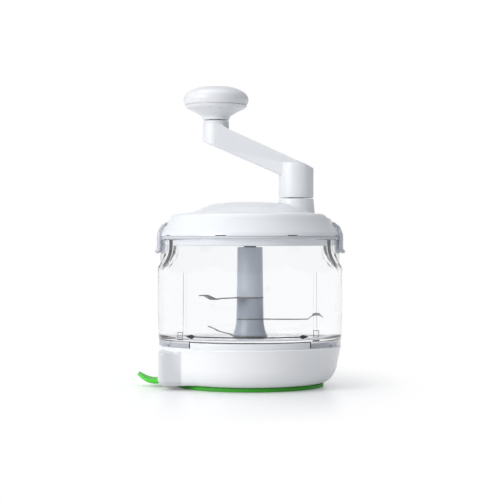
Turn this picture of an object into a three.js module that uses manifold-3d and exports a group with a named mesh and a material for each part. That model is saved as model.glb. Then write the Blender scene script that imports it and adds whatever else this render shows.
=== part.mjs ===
// Hand cranked food processor, in millimetres, +Z up, viewer at -Y.
// The origin is the middle of the suction cup's underside, on the bowl's axis.
import * as THREE from 'three';
import { mergeVertices } from 'three/addons/utils/BufferGeometryUtils.js';
import Module from 'manifold-3d';

const wasm = await Module();
wasm.setup();

// Shared clearances and counts
const clearance = 0.3;
const overrun = 1;
const wideFacets = 48;
const middleFacets = 24;
const smallFacets = 10;
const sectorStep = 6;
const right = 1;
const left = -1;

// Bowl's width, which the base, the lid and the blades follow
const bowlRadius = 74.8;
const bowlFootInset = 0.9;
const bowlFootRadius = bowlRadius - bowlFootInset;
const bowlWall = 2.8;
const bowlInnerRadius = bowlRadius - bowlWall;

// Base and its suction cup
const baseInset = 0.8;
const baseRadius = bowlRadius - baseInset;
const cupInset = 14.4;
const cupRadius = baseRadius - cupInset;
const cupThickness = 3;
const cupStemRadius = 10;
const cupStemRise = 8.5;
const cupStemTop = cupThickness + cupStemRise;
const cupBoreRadius = 6.5;
const cupFloorRise = 1.3;
const cupFloor = cupThickness + cupFloorRise;
const baseHeight = 30;
const baseWall = 2.4;
const baseOutlineShares = [
  [0.8, 0], [0.845, 0.04], [0.899, 0.157], [0.942, 0.357], [0.961, 0.58], [0.987, 0.89], [1, 1],
];
const baseBottom = cupThickness + clearance;
const baseTop = baseBottom + baseHeight;
const housingInset = 1.5;
const housingReach = baseRadius - housingInset;
const housingSideInset = 28.5;
const housingHalfWidth = baseRadius - housingSideInset;
const housingInnerReach = 30;
const housingDrop = 2.5;
const housingCorner = 4;
const housingEdge = 1.4;
const deckInset = 3.2;
const deckRadius = baseRadius - deckInset;
const deckRise = 4.7;
const deckThickness = 2.4;
const deckSeatDepth = 3.3;
const deckSkirtWall = 2.8;
const deckLedgeWidth = 4.8;
const deckLedgeRadius = deckRadius - deckLedgeWidth;
const deckLedgeThickness = 2;
const deckTop = baseTop + deckRise;
const deckSeat = baseTop - deckSeatDepth;
const underPlateInset = 14;
const underPlateRadius = baseRadius - underPlateInset;
const underPlateThickness = 2.5;
const underPlateLift = 2;
const underPlateBottom = baseBottom + underPlateLift;
const underPlateTop = underPlateBottom + underPlateThickness;
const flangeWidth = 3;
const flangeInnerRadius = underPlateRadius - flangeWidth;
const flangeThickness = 2;
const baseScrewInset = 10;
const baseScrewCircle = underPlateRadius - baseScrewInset;
const baseBossRadius = 4;
const baseScrewLength = 15;
const lugReach = 1.4;
const lugThickness = 1.8;
const lugDepth = 0.4;
const lugAngle = 14;
const lugOffset = 22;

// Suction lever and post
const leverWidth = 28;
const leverThickness = 3.8;
const leverOverhang = 17.6;
const leverTipReach = baseRadius + leverOverhang;
const leverTipRadius = 10;
const leverPlateStart = 24;
const leverPivotReach = 14;
const leverPivotRise = 11.2;
const leverPivotHeight = underPlateTop + leverPivotRise;
const leverCentreShares = [
  [0.24, 0.958], [0.437, 0.842], [0.611, 0.705], [0.699, 0.542], [0.759, 0.337], [0.808, 0.237],
  [0.862, 0.237], [0.917, 0.321], [0.961, 0.453], [0.987, 0.563],
];
const leverRoomRise = 6;
const leverRoomTop = leverPivotHeight + leverRoomRise;
const prongRadius = 3;
const prongThickness = 2.2;
const prongInner = 4.2;
const prongOuter = 7.2;
const leverEyeRadius = 3.2;
const leverPinRadius = 1.5;
const bracketOuter = 11;
const bracketHalfLength = 5;
const bracketRise = 4.5;
const bracketTop = leverPivotHeight + bracketRise;
const postRadius = 3.5;
const postFootRadius = 6.2;
const postFootHeight = 3.8;
const postTravel = 3.9;
const postFootBottom = cupFloor + postTravel;
const postHeadRadius = 7.6;
const postHeadThickness = 3;

// Bowl
const bowlFloor = 2.1;
const bowlHeight = 80.3;
const bowlFullRadiusRise = 22;
const bowlCornerWidth = 2.4;
const bowlCornerShare = 0.3;
const bowlBottom = deckTop + clearance;
const bowlFloorTop = bowlBottom + bowlFloor;
const bowlTop = bowlBottom + bowlHeight;
const footDrop = 4.6;
const footWall = 1.4;
const footHalfAngle = 50;
const toothAngle = 12;
const toothThickness = 1.6;
const ribReach = 1.2;
const ribAngle = 9.6;
const ribOffset = 47.5;
const ribHeight = 53.6;
const ribTop = bowlFloorTop + ribHeight;
const recessInset = 2.2;
const recessRadius = bowlRadius - recessInset;
const recessWall = 2.6;
const recessHalfWidth = 34;
const recessDepth = 23.6;
const recessStraight = 5.6;
const recessBorder = 2.4;
const pinRadius = 3;
const pinHeight = 19.6;
const pinTop = bowlFloorTop + pinHeight;
const pinBossRadius = 5.5;
const pinBossRise = 5.6;

// Blades and their column
const columnTopGap = 6.3;
const columnEdgeShare = 0.25;
const columnTop = bowlTop - columnTopGap;
const columnTopRadius = 10.2;
const columnWaistRadius = 11;
const columnFootRadius = 14.2;
const columnCapThickness = 2;
const coreRadius = 7.5;
const coreFlangeRadius = 13.6;
const coreFlangeThickness = 0.5;
const coreTopDrop = 2.3;
const socketDepth = 10;
const bladeThickness = 1.2;
const bladeTipGap = 13;
const bladeReach = bowlInnerRadius - bladeTipGap;
const bladeRootWidth = 15;
const bladeTipWidth = 7;
const bladeFloorGap = 0.8;
const lowerBladeHeight = bowlFloorTop + bladeFloorGap;
const middleBladeStep = 13.7;
const middleBladeHeight = lowerBladeHeight + middleBladeStep;
const upperBladeStep = 16;
const upperBladeHeight = middleBladeHeight + upperBladeStep;
const lowerBladeTurn = 124;
const middleBladeTurn = -4;
const upperBladeTurn = 226;
const bladeBend = 6;
const edgeBendShare = 0.6;
const backBendShare = 0.5;
const backWidthShare = 0.7;
const tipStartShare = 0.4;
const tipEndShare = 1.6;
const lowerBladeShares = [[0.254, 0], [0.407, 0.05], [0.712, 0.333], [0.864, 0.633], [1.034, 0.933]];
const middleBladeShares = [[0.746, 0], [0.814, 0.2], [0.873, 0.5], [0.958, 0.517], [1.034, 0.033]];
const upperBladeShares = [[0.61, 0], [0.712, -0.1], [0.797, 0.133], [0.898, 0.45], [1.034, 0.483]];

// Lid
const gasketHeight = 2.4;
const gasketReach = 0.4;
const coverInset = 1.8;
const coverRadius = bowlRadius - coverInset;
const coverWall = 2.2;
const shoulderHeight = 19;
const shoulderShares = [
  [1, 0], [0.988, 0.142], [0.96, 0.3], [0.918, 0.56], [0.89, 0.77], [0.868, 0.88],
  [0.836, 0.935], [0.74, 0.974],
];
const shoulderWidth = 27.6;
const discRadius = coverRadius - shoulderWidth;
const discRise = 8.8;
const discShares = [
  [1.02, 0], [0.99, 0.09], [0.848, 0.432], [0.716, 0.693], [0.6, 0.83], [0.3, 0.96], [0, 1],
];
const coverBottom = bowlTop + clearance + gasketHeight;
const slotCount = 8;
const slotWidth = 8.6;
const slotHeight = 0.9;
const slotOffset = 27;
const plateGap = 2.4;
const plateRadius = bowlInnerRadius - plateGap;
const plateThickness = 2.4;
const skirtWall = 2.2;
const skirtHeight = 7.8;
const lidScrewInset = 11.6;
const lidScrewCircle = plateRadius - lidScrewInset;
const lidBossRadius = 3.6;
const lidScrewAngles = [70, 140, 220, 290];
const lidScrewLength = 10;
const screwRadius = 1.3;
const screwHeadRadius = 2.9;
const screwHeadHeight = 1.8;
const plateTop = coverBottom;
const plateUnder = plateTop - plateThickness;

// Gear train
const driveTeeth = 36;
const pinionTeeth = 14;
const addendumShare = 0.8;
const gearRoom = 5.1;
const gearReachTeeth = driveTeeth + pinionTeeth / 2 + addendumShare;
const toothModule = (coverRadius - coverWall - gearRoom) / gearReachTeeth;
const dedendumShare = 1;
const pressureAngle = 20;
const backlash = 0.4;
const gearFace = 4.5;
const gearLift = 0.8;
const gearCentre = toothModule * (driveTeeth + pinionTeeth) / 2;
const gearBottom = plateTop + gearLift;
const gearTop = gearBottom + gearFace;
const shaftRadius = 6;
const shaftFlat = 4.8;
const journalRadius = 4;
const journalDepth = 5;
const journalCupRadius = 7.5;
const journalCupFloor = 1.2;
const driveHubRadius = 10;
const driveHubHeight = 4.3;
const driveHoleInset = 9.5;
const driveHoleCircle = toothModule * driveTeeth / 2 - driveHoleInset;
const driveHoleRadius = 4.2;
const driveHoleCount = 6;
const clipRadius = 9;
const clipThickness = 1.2;
const clipClearance = 0.1;
const bushWall = 2.2;
const bushFlangeReach = 2.4;
const bushFlangeThickness = 1.4;
const crankBossFootRadius = 15.2;
const crankBossRadius = 14;
const crankBossRise = 2.5;
const coverTop = coverBottom + shoulderHeight + discRise;
const crankBossTop = coverTop + crankBossRise;
const crankBossGap = 0.9;
const crankBossBottom = gearTop + driveHubHeight + clipThickness + crankBossGap;
const crankBossInnerRadius = 11.2;
const driverRadius = 5;
const driverFlats = 8.4;
const driverReach = 11.3;
const driverTip = columnTop - driverReach;
const driverHexGap = 0.8;
const driverHexTop = columnTop - driverHexGap;
const driverNeckRadius = 3.5;
const driverFlat = 2.7;
const driverEnd = 3.9;
const pinionHubRadius = 6;
const pinionHubHeight = 2.2;
const topBossRadius = 6.5;
const topBossGap = 0.7;
const topBossBottom = gearTop + pinionHubHeight + topBossGap;
const driverTop = topBossBottom + driverEnd;
const driverBushWall = 2.5;
const driverBushDepth = 5.8;
const driverBushBottom = plateTop - driverBushDepth;
const driverBushFlange = 0.5;
const driverSocketRadius = 10.5;

// Latches
const latchThickness = 2.2;
const latchWidth = 36;
const latchTongueWidth = 18;
const latchShoulderRise = 6.2;
const latchShoulder = coverBottom + latchShoulderRise;
const latchDrop = 12.6;
const latchBottom = bowlTop - latchDrop;
const latchLean = 7.5;
const latchRise = 9.6;
const latchCentreShares = [
  [-1, 1], [-0.533, 0.844], [-0.28, 0.531], [-0.093, 0.156], [-0.053, -0.24], [-0.053, -0.99],
  [0.053, -1.219], [0.293, -1.365],
];
const latchPivotInset = 5.7;
const latchPivotReach = coverRadius - latchPivotInset;
const latchPivotRise = 9.1;
const latchPivotHeight = coverBottom + latchPivotRise;

// Flat on the lid's right shoulder
const seatHalfWidth = 22;
const seatStartInset = 27;
const seatStart = coverRadius - seatStartInset;
const seatStartRise = 0.5;
const seatStartHeight = coverBottom + shoulderHeight + seatStartRise;
const seatEndInset = 4;
const seatEnd = coverRadius - seatEndInset;
const seatEndDrop = 6.6;
const seatEndHeight = coverBottom + shoulderHeight - seatEndDrop;
const knuckleRadius = 2.1;
const latchPinRadius = 1;
const latchPinLength = 26;
const latchBossRadius = 3.5;
const latchBossHalf = 13.5;

// Crank and knob
const crankThrow = 65;
const hubRadius = 14;
const postEndRadius = 10.7;
const barHubHalf = 8;
const hubSeam = 0.8;
const hubBottom = crankBossTop + hubSeam;
const armHubCornerRise = 19.1;
const armHubCorner = hubBottom + armHubCornerRise;
const armHubRise = 23.6;
const armHubTop = hubBottom + armHubRise;
const armSlopeRise = 28.1;
const armSlopeStart = hubBottom + armSlopeRise;
const armPostRise = 45.9;
const armPostBottom = hubBottom + armPostRise;
const armPostCornerRise = 54.8;
const armPostCorner = hubBottom + armPostCornerRise;
const armShoulderRise = 59;
const armPostShoulder = hubBottom + armShoulderRise;
const armShoulderReach = 4.4;
const armSlopeReach = 4.7;
const postNeckRadius = 10.4;
const postRise = 62.2;
const postTop = hubBottom + postRise;
const shaftSocketDepth = 15;
const axleRadius = 4;
const axleThreadRadius = 3;
const axleThreadLength = 12;
const axleHeadRadius = 7;
const axleHeadHeight = 2.6;
const knobSeam = 0.8;
const knobRadius = 26.4;
const knobBodyHeight = 13.6;
const knobCapHeight = 13.7;
const knobWall = 2.2;
const knobInsideShare = 0.86;
const knobFloorRise = 6.8;
const knobPocketRadius = 8.4;
const knobBodyShares = [
  [0.398, 0], [0.413, 0.118], [0.447, 0.221], [0.53, 0.324], [0.644, 0.456],
  [0.777, 0.588], [0.89, 0.691], [0.947, 0.831], [0.977, 1],
];
const knobCapShares = [
  [0.977, 0], [1, 0.19], [0.991, 0.3], [0.966, 0.42], [0.92, 0.54],
  [0.845, 0.66], [0.74, 0.77], [0.583, 0.88], [0.4, 0.95], [0, 1],
];

const colours = {
  white: 0xf1f2f4,
  clear: 0xe9edf1,
  smoke: 0xc4c7cd,
  blueGrey: 0xaab1bb,
  steel: 0x8b8e94,
  darkGrey: 0x63666c,
  green: 0x35b52b,
  gasket: 0xb9bfc9,
  natural: 0xdfe0dc,
};

const finishes = {
  gloss: { roughness: 0.25, metalness: 0 },
  satin: { roughness: 0.5, metalness: 0 },
  soft: { roughness: 0.75, metalness: 0 },
  metal: { roughness: 0.3, metalness: 1 },
};

const processor = new THREE.Group();

// Turn a three.js geometry into a solid whose faces point outwards.
function solid(geometry) {
  const bare = geometry.clone();
  bare.deleteAttribute('normal');
  bare.deleteAttribute('uv');
  const merged = mergeVertices(bare, 1e-4);
  const vertProperties = new Float32Array(merged.attributes.position.array);
  const triVerts = new Uint32Array(merged.index.array);
  const body = new wasm.Manifold(new wasm.Mesh({ numProp: 3, vertProperties, triVerts }));
  if (body.volume() > 0) return body;
  for (let i = 0; i < triVerts.length; i += 3) {
    [triVerts[i], triVerts[i + 1]] = [triVerts[i + 1], triVerts[i]];
  }
  return new wasm.Manifold(new wasm.Mesh({ numProp: 3, vertProperties, triVerts }));
}

function joined(...bodies) {
  return bodies.reduce((whole, body) => whole.add(body));
}

function cut(body, ...cutters) {
  return cutters.reduce((rest, cutter) => rest.subtract(cutter), body);
}

// Add one finished piece to the model under its own name.
function piece(name, body, colour, finish) {
  const mesh = body.getMesh();
  const geometry = new THREE.BufferGeometry();
  geometry.setAttribute('position', new THREE.BufferAttribute(mesh.vertProperties, 3));
  geometry.setIndex(new THREE.BufferAttribute(mesh.triVerts, 1));
  geometry.computeVertexNormals();
  const material = new THREE.MeshStandardMaterial({ color: colours[colour], ...finishes[finish] });
  const part = new THREE.Mesh(geometry, material);
  part.name = name;
  processor.add(part);
}

// Revolve a closed outline of [radius, height] points about the vertical axis.
function revolved(points, facets) {
  const outline = points.map(([radius, height]) => new THREE.Vector2(radius, height));
  const open = outline[0].x > 0 || outline.at(-1).x > 0;
  if (open) outline.push(outline[0].clone());
  return solid(new THREE.LatheGeometry(outline, facets).rotateX(Math.PI / 2));
}

function disc(radius, low, high, facets = middleFacets) {
  return revolved([[0, low], [radius, low], [radius, high], [0, high]], facets);
}

function ring(inner, outer, low, high, facets = middleFacets) {
  return revolved([[inner, low], [outer, low], [outer, high], [inner, high]], facets);
}

function cone(lowRadius, highRadius, low, high, facets = middleFacets) {
  return revolved([[0, low], [lowRadius, low], [highRadius, high], [0, high]], facets);
}

function block(lowX, highX, lowY, highY, low, high) {
  const box = new THREE.BoxGeometry(highX - lowX, highY - lowY, high - low);
  return solid(box.translate((lowX + highX) / 2, (lowY + highY) / 2, (low + high) / 2));
}

// Extrude a plan outline upwards from one height to another.
function upright(shape, low, high, curveSegments = 8) {
  const geometry = new THREE.ExtrudeGeometry(shape, {
    depth: high - low, bevelEnabled: false, curveSegments,
  });
  return solid(geometry.translate(0, 0, low));
}

// Extrude an outline drawn in X and Z across the part, half to each side of Y zero.
function across(points, width) {
  const shape = new THREE.Shape(points.map(([x, z]) => new THREE.Vector2(x, z)));
  const geometry = new THREE.ExtrudeGeometry(shape, { depth: width, bevelEnabled: false });
  return solid(geometry.translate(0, 0, -width / 2).rotateX(Math.PI / 2));
}

// Extrude an outline drawn in Y and Z along X, from one reach to another.
function along(points, low, high) {
  const shape = new THREE.Shape(points.map(([y, z]) => new THREE.Vector2(y, z)));
  const geometry = new THREE.ExtrudeGeometry(shape, { depth: high - low, bevelEnabled: false });
  geometry.rotateX(Math.PI / 2).rotateZ(Math.PI / 2);
  return solid(geometry.translate(low, 0, 0));
}

// A round bar lying along Y.
function crossBar(radius, halfLength, x, z) {
  return disc(radius, -halfLength, halfLength, smallFacets).rotate([90, 0, 0]).translate([x, 0, z]);
}

// The outline of a band of even thickness that follows a centre line.
function band(centre, thickness) {
  const line = centre.map(([a, b]) => new THREE.Vector2(a, b));
  const sides = [[], []];
  line.forEach((point, i) => {
    const before = line[Math.max(i - 1, 0)];
    const after = line[Math.min(i + 1, line.length - 1)];
    const normal = after.clone().sub(before).normalize().rotateAround(new THREE.Vector2(), Math.PI / 2);
    const reach = normal.multiplyScalar(thickness / 2);
    sides[0].push(point.clone().add(reach).toArray());
    sides[1].push(point.clone().sub(reach).toArray());
  });
  return [...sides[0], ...sides[1].reverse()];
}

// Move an outer outline inwards by a wall, keeping its first and last points on their lines.
function inset(outline, wall, startHeight, endOnAxis) {
  const inner = outline.map(([radius, height], i) => {
    const before = outline[Math.max(i - 1, 0)];
    const after = outline[Math.min(i + 1, outline.length - 1)];
    const run = new THREE.Vector2(after[0] - before[0], after[1] - before[1]).normalize();
    return [radius - wall * Math.abs(run.y), height - wall * Math.abs(run.x)];
  });
  inner[0] = [outline[0][0] - wall, startHeight];
  if (endOnAxis) inner[inner.length - 1] = [0, outline.at(-1)[1] - wall];
  return inner.filter((point, i) => i % 2 === 0 || i === inner.length - 1);
}

function scaledOutline(shares, radius, low, height) {
  return shares.map(([r, h]) => [r * radius, low + h * height]);
}

function radians(degrees) {
  return degrees * Math.PI / 180;
}

// A part of a ring between two radii, centred on one direction.
function sector(inner, outer, low, high, middle, width) {
  const shape = new THREE.Shape();
  const start = radians(middle - width / 2);
  const end = radians(middle + width / 2);
  shape.absarc(0, 0, outer, start, end, false);
  shape.absarc(0, 0, inner, end, start, true);
  return upright(shape, low, high, Math.ceil(width / sectorStep));
}

function roundedRectangle(lowX, highX, halfWidth, corner) {
  const shape = new THREE.Shape();
  const quarter = Math.PI / 2;
  shape.absarc(highX - corner, halfWidth - corner, corner, 0, quarter, false);
  shape.absarc(lowX + corner, halfWidth - corner, corner, quarter, 2 * quarter, false);
  shape.absarc(lowX + corner, corner - halfWidth, corner, 2 * quarter, 3 * quarter, false);
  shape.absarc(highX - corner, corner - halfWidth, corner, 3 * quarter, 4 * quarter, false);
  return shape;
}

function hexagon(flats, low, high) {
  return disc(flats / Math.sqrt(3), low, high, 6);
}

// A self tapping screw standing head down.
function screw(x, y, seat, length) {
  const head = disc(screwHeadRadius, seat - screwHeadHeight, seat, smallFacets);
  const shank = disc(screwRadius, seat - screwHeadHeight / 2, seat + length, smallFacets);
  return joined(head, shank).translate([x, y, 0]);
}

function onCircle(radius, degrees) {
  return [radius * Math.cos(radians(degrees)), radius * Math.sin(radians(degrees)), 0];
}

// Base shell with its squared lever housing
const baseOutline = scaledOutline(baseOutlineShares, baseRadius, baseBottom, baseHeight);
const housingTop = baseTop - housingDrop;

function housing(offset, low, high) {
  const edge = housingEdge;
  const plan = roundedRectangle(
    offset - housingReach, -housingInnerReach, housingHalfWidth - offset, housingCorner,
  );
  const geometry = new THREE.ExtrudeGeometry(plan, {
    depth: high - low - 2 * edge,
    bevelThickness: edge,
    bevelSize: edge,
    bevelOffset: -edge,
    bevelSegments: 2,
    curveSegments: 4,
  });
  return solid(geometry.translate(0, 0, low + edge));
}

function baseShell() {
  const outside = joined(
    revolved([[0, baseBottom], ...baseOutline, [0, baseTop]], wideFacets),
    housing(0, baseBottom, housingTop),
  );
  const innerLine = inset(baseOutline, baseWall, baseBottom - overrun, false);
  const innerTop = innerLine.at(-1)[0];
  const hollow = joined(
    revolved(
      [[0, baseBottom - overrun], ...innerLine, [innerTop, baseTop + overrun], [0, baseTop + overrun]],
      wideFacets,
    ),
    housing(baseWall, baseBottom - overrun - housingEdge, housingTop - baseWall),
  );
  const deckLedge = ring(deckLedgeRadius, baseRadius, deckSeat - deckLedgeThickness, deckSeat, wideFacets);
  const plateFlange = ring(
    flangeInnerRadius, baseRadius, underPlateTop, underPlateTop + flangeThickness, wideFacets,
  );
  const leverRoom = block(
    -housingReach - overrun, -flangeInnerRadius / 2,
    -leverWidth / 2 - overrun, leverWidth / 2 + overrun,
    baseBottom - overrun, leverRoomTop,
  );
  const deckRoom = disc(deckRadius + clearance, deckSeat, baseTop + overrun, wideFacets);
  const walls = joined(cut(outside, hollow), deckLedge.intersect(outside), plateFlange.intersect(outside));
  return cut(walls, leverRoom, deckRoom);
}

// Deck that closes the base, with the bowl's bayonet lugs on its side
const baseScrewAngles = [45, 135, 225, 315];

function baseDeck() {
  const plate = disc(deckRadius, deckTop - deckThickness, deckTop, wideFacets);
  const skirt = ring(deckRadius - deckSkirtWall, deckRadius, deckSeat, deckTop, wideFacets);
  const lugTop = deckTop - lugDepth;
  const lugs = [lugOffset, -lugOffset, 180 - lugOffset, 180 + lugOffset].map(
    (angle) => sector(deckRadius - overrun, deckRadius + lugReach, lugTop - lugThickness, lugTop, angle, lugAngle),
  );
  const bosses = baseScrewAngles.map(
    (angle) => disc(baseBossRadius, underPlateTop, deckTop - deckThickness / 2, smallFacets)
      .translate(onCircle(baseScrewCircle, angle)),
  );
  const holes = baseScrewAngles.map(
    (angle) => disc(screwRadius + clearance, underPlateTop - overrun, underPlateTop + baseScrewLength, smallFacets)
      .translate(onCircle(baseScrewCircle, angle)),
  );
  return cut(joined(plate, skirt, ...lugs, ...bosses), ...holes);
}

// Under plate with the two brackets that hold the lever's pin
function underPlate() {
  const plate = disc(underPlateRadius, underPlateBottom, underPlateTop, wideFacets);
  const brackets = [left, right].map((side) => {
    const inner = side * (prongOuter + clearance);
    const outer = side * bracketOuter;
    return block(
      -leverPivotReach - bracketHalfLength, -leverPivotReach + bracketHalfLength,
      Math.min(inner, outer), Math.max(inner, outer), underPlateTop - overrun, bracketTop,
    );
  });
  const pinHole = crossBar(
    leverPinRadius + clearance, bracketOuter + overrun, -leverPivotReach, leverPivotHeight,
  );
  const stemHole = disc(
    cupStemRadius + clearance, underPlateBottom - overrun, underPlateTop + overrun,
  );
  const screwHoles = baseScrewAngles.map(
    (angle) => disc(screwRadius + clearance, underPlateBottom - overrun, underPlateTop + overrun, smallFacets)
      .translate(onCircle(baseScrewCircle, angle)),
  );
  return cut(joined(plate, ...brackets), pinHole, stemHole, ...screwHoles);
}

// Suction cup, a rubber disc with a stem round the post's foot
function suctionCup() {
  return revolved([
    [0, 0], [cupRadius, 0], [cupRadius, cupThickness], [cupStemRadius, cupThickness],
    [cupStemRadius, cupStemTop], [cupBoreRadius, cupStemTop], [cupBoreRadius, cupFloor], [0, cupFloor],
  ], wideFacets);
}

// Suction post, lifted by the two prongs of the lever
function suctionPost() {
  const headUnder = leverPivotHeight + prongRadius + clearance;
  const footTop = postFootBottom + postFootHeight;
  return revolved([
    [0, postFootBottom], [postFootRadius, postFootBottom], [postFootRadius, footTop],
    [postRadius, footTop], [postRadius, headUnder], [postHeadRadius, headUnder],
    [postHeadRadius, headUnder + postHeadThickness], [0, headUnder + postHeadThickness],
  ], smallFacets * 2);
}

// Suction lever: a cranked plate with a curved paddle outside and a fork inside
function suctionLever() {
  const centre = leverCentreShares.map(([reach, height]) => [-reach * leverTipReach, height * leverPivotHeight]);
  const plate = across(band(centre, leverThickness), leverWidth);
  const plan = roundedRectangle(-leverTipReach, -leverPlateStart, leverWidth / 2, leverTipRadius);
  const blank = plate.intersect(upright(plan, 0, leverRoomTop));
  const forkLine = [[-leverPlateStart - leverThickness, centre[0][1]],
    [-leverPivotReach, leverPivotHeight], [0, leverPivotHeight]];
  const prongWidth = prongOuter - prongInner;
  const prongs = [left, right].map((side) => {
    const bar = across(band(forkLine, prongThickness), prongWidth);
    const nose = crossBar(prongRadius, prongWidth / 2, 0, leverPivotHeight);
    const eye = crossBar(leverEyeRadius, prongWidth / 2, -leverPivotReach, leverPivotHeight);
    return joined(bar, nose, eye).translate([0, side * (prongInner + prongOuter) / 2, 0]);
  });
  const pinHole = crossBar(leverPinRadius + clearance, leverWidth, -leverPivotReach, leverPivotHeight);
  return cut(joined(blank, ...prongs), pinHole);
}

piece('base_shell', baseShell(), 'white', 'gloss');
piece('base_deck', baseDeck(), 'white', 'gloss');
piece('base_under_plate', underPlate(), 'white', 'satin');
piece('suction_cup', suctionCup(), 'green', 'soft');
piece('suction_post', suctionPost(), 'darkGrey', 'satin');
piece('suction_lever', suctionLever(), 'green', 'satin');
piece('lever_pin', crossBar(leverPinRadius, bracketOuter, -leverPivotReach, leverPivotHeight), 'steel', 'metal');
baseScrewAngles.forEach((angle, i) => {
  const [x, y] = onCircle(baseScrewCircle, angle);
  piece(`base_screw_${i + 1}`, screw(x, y, underPlateBottom, baseScrewLength), 'steel', 'metal');
});

// Clear bowl with its foot, bayonet teeth, ribs and latch recesses

function recessOutline(border) {
  const turn = 12;
  const low = bowlTop - recessDepth - border;
  const arcTop = bowlTop - recessStraight;
  const half = recessHalfWidth + border;
  const points = [[-half, bowlTop + overrun]];
  for (let i = 0; i <= turn; i += 1) {
    const angle = Math.PI * (1 + i / turn);
    points.push([half * Math.cos(angle), arcTop + (arcTop - low) * Math.sin(angle)]);
  }
  points.push([half, bowlTop + overrun]);
  return points;
}

function recessPrism(side, border) {
  const reach = bowlRadius + overrun;
  return along(recessOutline(border), side > 0 ? 0 : -reach, side > 0 ? reach : 0);
}

function bowl() {
  const wall = revolved([
    [0, bowlBottom], [bowlFootRadius, bowlBottom], [bowlRadius, bowlBottom + bowlFullRadiusRise],
    [bowlRadius, bowlTop], [bowlInnerRadius, bowlTop],
    [bowlInnerRadius, bowlFloorTop + bowlCornerWidth],
    [bowlInnerRadius - bowlCornerWidth * bowlCornerShare, bowlFloorTop + bowlCornerWidth * bowlCornerShare],
    [bowlInnerRadius - bowlCornerWidth, bowlFloorTop], [0, bowlFloorTop],
  ], wideFacets);
  const ribTurns = [ribOffset, 180 - ribOffset, 180 + ribOffset, -ribOffset].map((turn) => turn - 90);
  const ribs = ribTurns.map((turn) => sector(
    bowlInnerRadius - ribReach, bowlRadius - bowlWall / 2, bowlBottom + bowlFloor / 2, ribTop, turn, ribAngle,
  ));
  const pads = [left, right].map((side) => ring(
    recessRadius - recessWall, bowlRadius - bowlWall / 2,
    bowlTop - recessDepth - 2 * recessBorder, bowlTop, wideFacets,
  ).intersect(recessPrism(side, recessBorder)));
  const recesses = [left, right].map((side) => ring(
    recessRadius, bowlRadius + overrun,
    bowlTop - recessDepth - overrun, bowlTop + overrun, wideFacets,
  ).intersect(recessPrism(side, 0)));
  const feet = [0, 180].map((middle) => sector(
    bowlFootRadius - footWall, bowlFootRadius, bowlBottom - footDrop, bowlBottom + bowlFloor / 2,
    middle, 2 * footHalfAngle,
  ));
  const toothBottom = bowlBottom - footDrop;
  const teeth = [lugOffset, -lugOffset, 180 - lugOffset, 180 + lugOffset].map((angle) => sector(
    deckRadius + clearance, bowlFootRadius - footWall / 2, toothBottom, toothBottom + toothThickness,
    angle, toothAngle,
  ));
  const pinBoss = disc(pinBossRadius, bowlBottom + bowlFloor / 2, bowlFloorTop + pinBossRise);
  const pinHole = disc(
    pinRadius + clearance, bowlBottom + bowlFloor / 2, bowlFloorTop + pinBossRise + overrun, smallFacets,
  );
  return cut(joined(wall, ...ribs, ...pads, ...feet, ...teeth, pinBoss), ...recesses, pinHole);
}

piece('bowl', bowl(), 'clear', 'gloss');
piece('blade_pivot_pin', disc(pinRadius, bowlBottom + bowlFloor / 2, pinTop, smallFacets), 'steel', 'metal');

// Blade column: core, three sleeves and three blades clamped between them
const sleeveBore = coreRadius + clearance;
const lowerBladeTop = lowerBladeHeight + bladeThickness;
const middleBladeTop = middleBladeHeight + bladeThickness;
const upperBladeTop = upperBladeHeight + bladeThickness;

function columnCore() {
  const flangeBottom = lowerBladeHeight - coreFlangeThickness;
  const top = columnTop - coreTopDrop;
  const body = joined(
    disc(coreFlangeRadius, flangeBottom, lowerBladeHeight),
    disc(coreRadius, flangeBottom, top),
  );
  const bore = disc(pinRadius + clearance, flangeBottom - overrun, pinTop + overrun, smallFacets);
  const counterbore = disc(
    pinBossRadius + clearance, flangeBottom - overrun, bowlFloorTop + pinBossRise + clearance,
  );
  const socket = hexagon(driverFlats + 2 * clearance, columnTop - coreTopDrop - socketDepth, top + overrun);
  return cut(body, bore, counterbore, socket);
}

function footSleeve() {
  const height = middleBladeHeight - lowerBladeTop;
  const flare = columnFootRadius - columnWaistRadius;
  const flareShares = [[1, 0], [0.72, 0.14], [0.42, 0.36], [0.16, 0.66], [0, 1]];
  const outer = flareShares.map(([r, h]) => [columnWaistRadius + r * flare, lowerBladeTop + h * height]);
  return revolved([[sleeveBore, lowerBladeTop], ...outer, [sleeveBore, middleBladeHeight]], middleFacets);
}

function middleSleeve() {
  return revolved([
    [sleeveBore, middleBladeTop], [columnWaistRadius, middleBladeTop],
    [columnWaistRadius - clearance, upperBladeHeight], [sleeveBore, upperBladeHeight],
  ], middleFacets);
}

function upperSleeve() {
  const capUnder = columnTop - columnCapThickness;
  const edge = columnCapThickness * columnEdgeShare;
  return revolved([
    [sleeveBore, upperBladeTop], [columnWaistRadius - clearance, upperBladeTop],
    [columnTopRadius, columnTop - edge], [columnTopRadius - edge, columnTop],
    [driverRadius + 2 * clearance, columnTop], [driverRadius + 2 * clearance, capUnder],
    [sleeveBore, capUnder],
  ], middleFacets);
}

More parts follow.
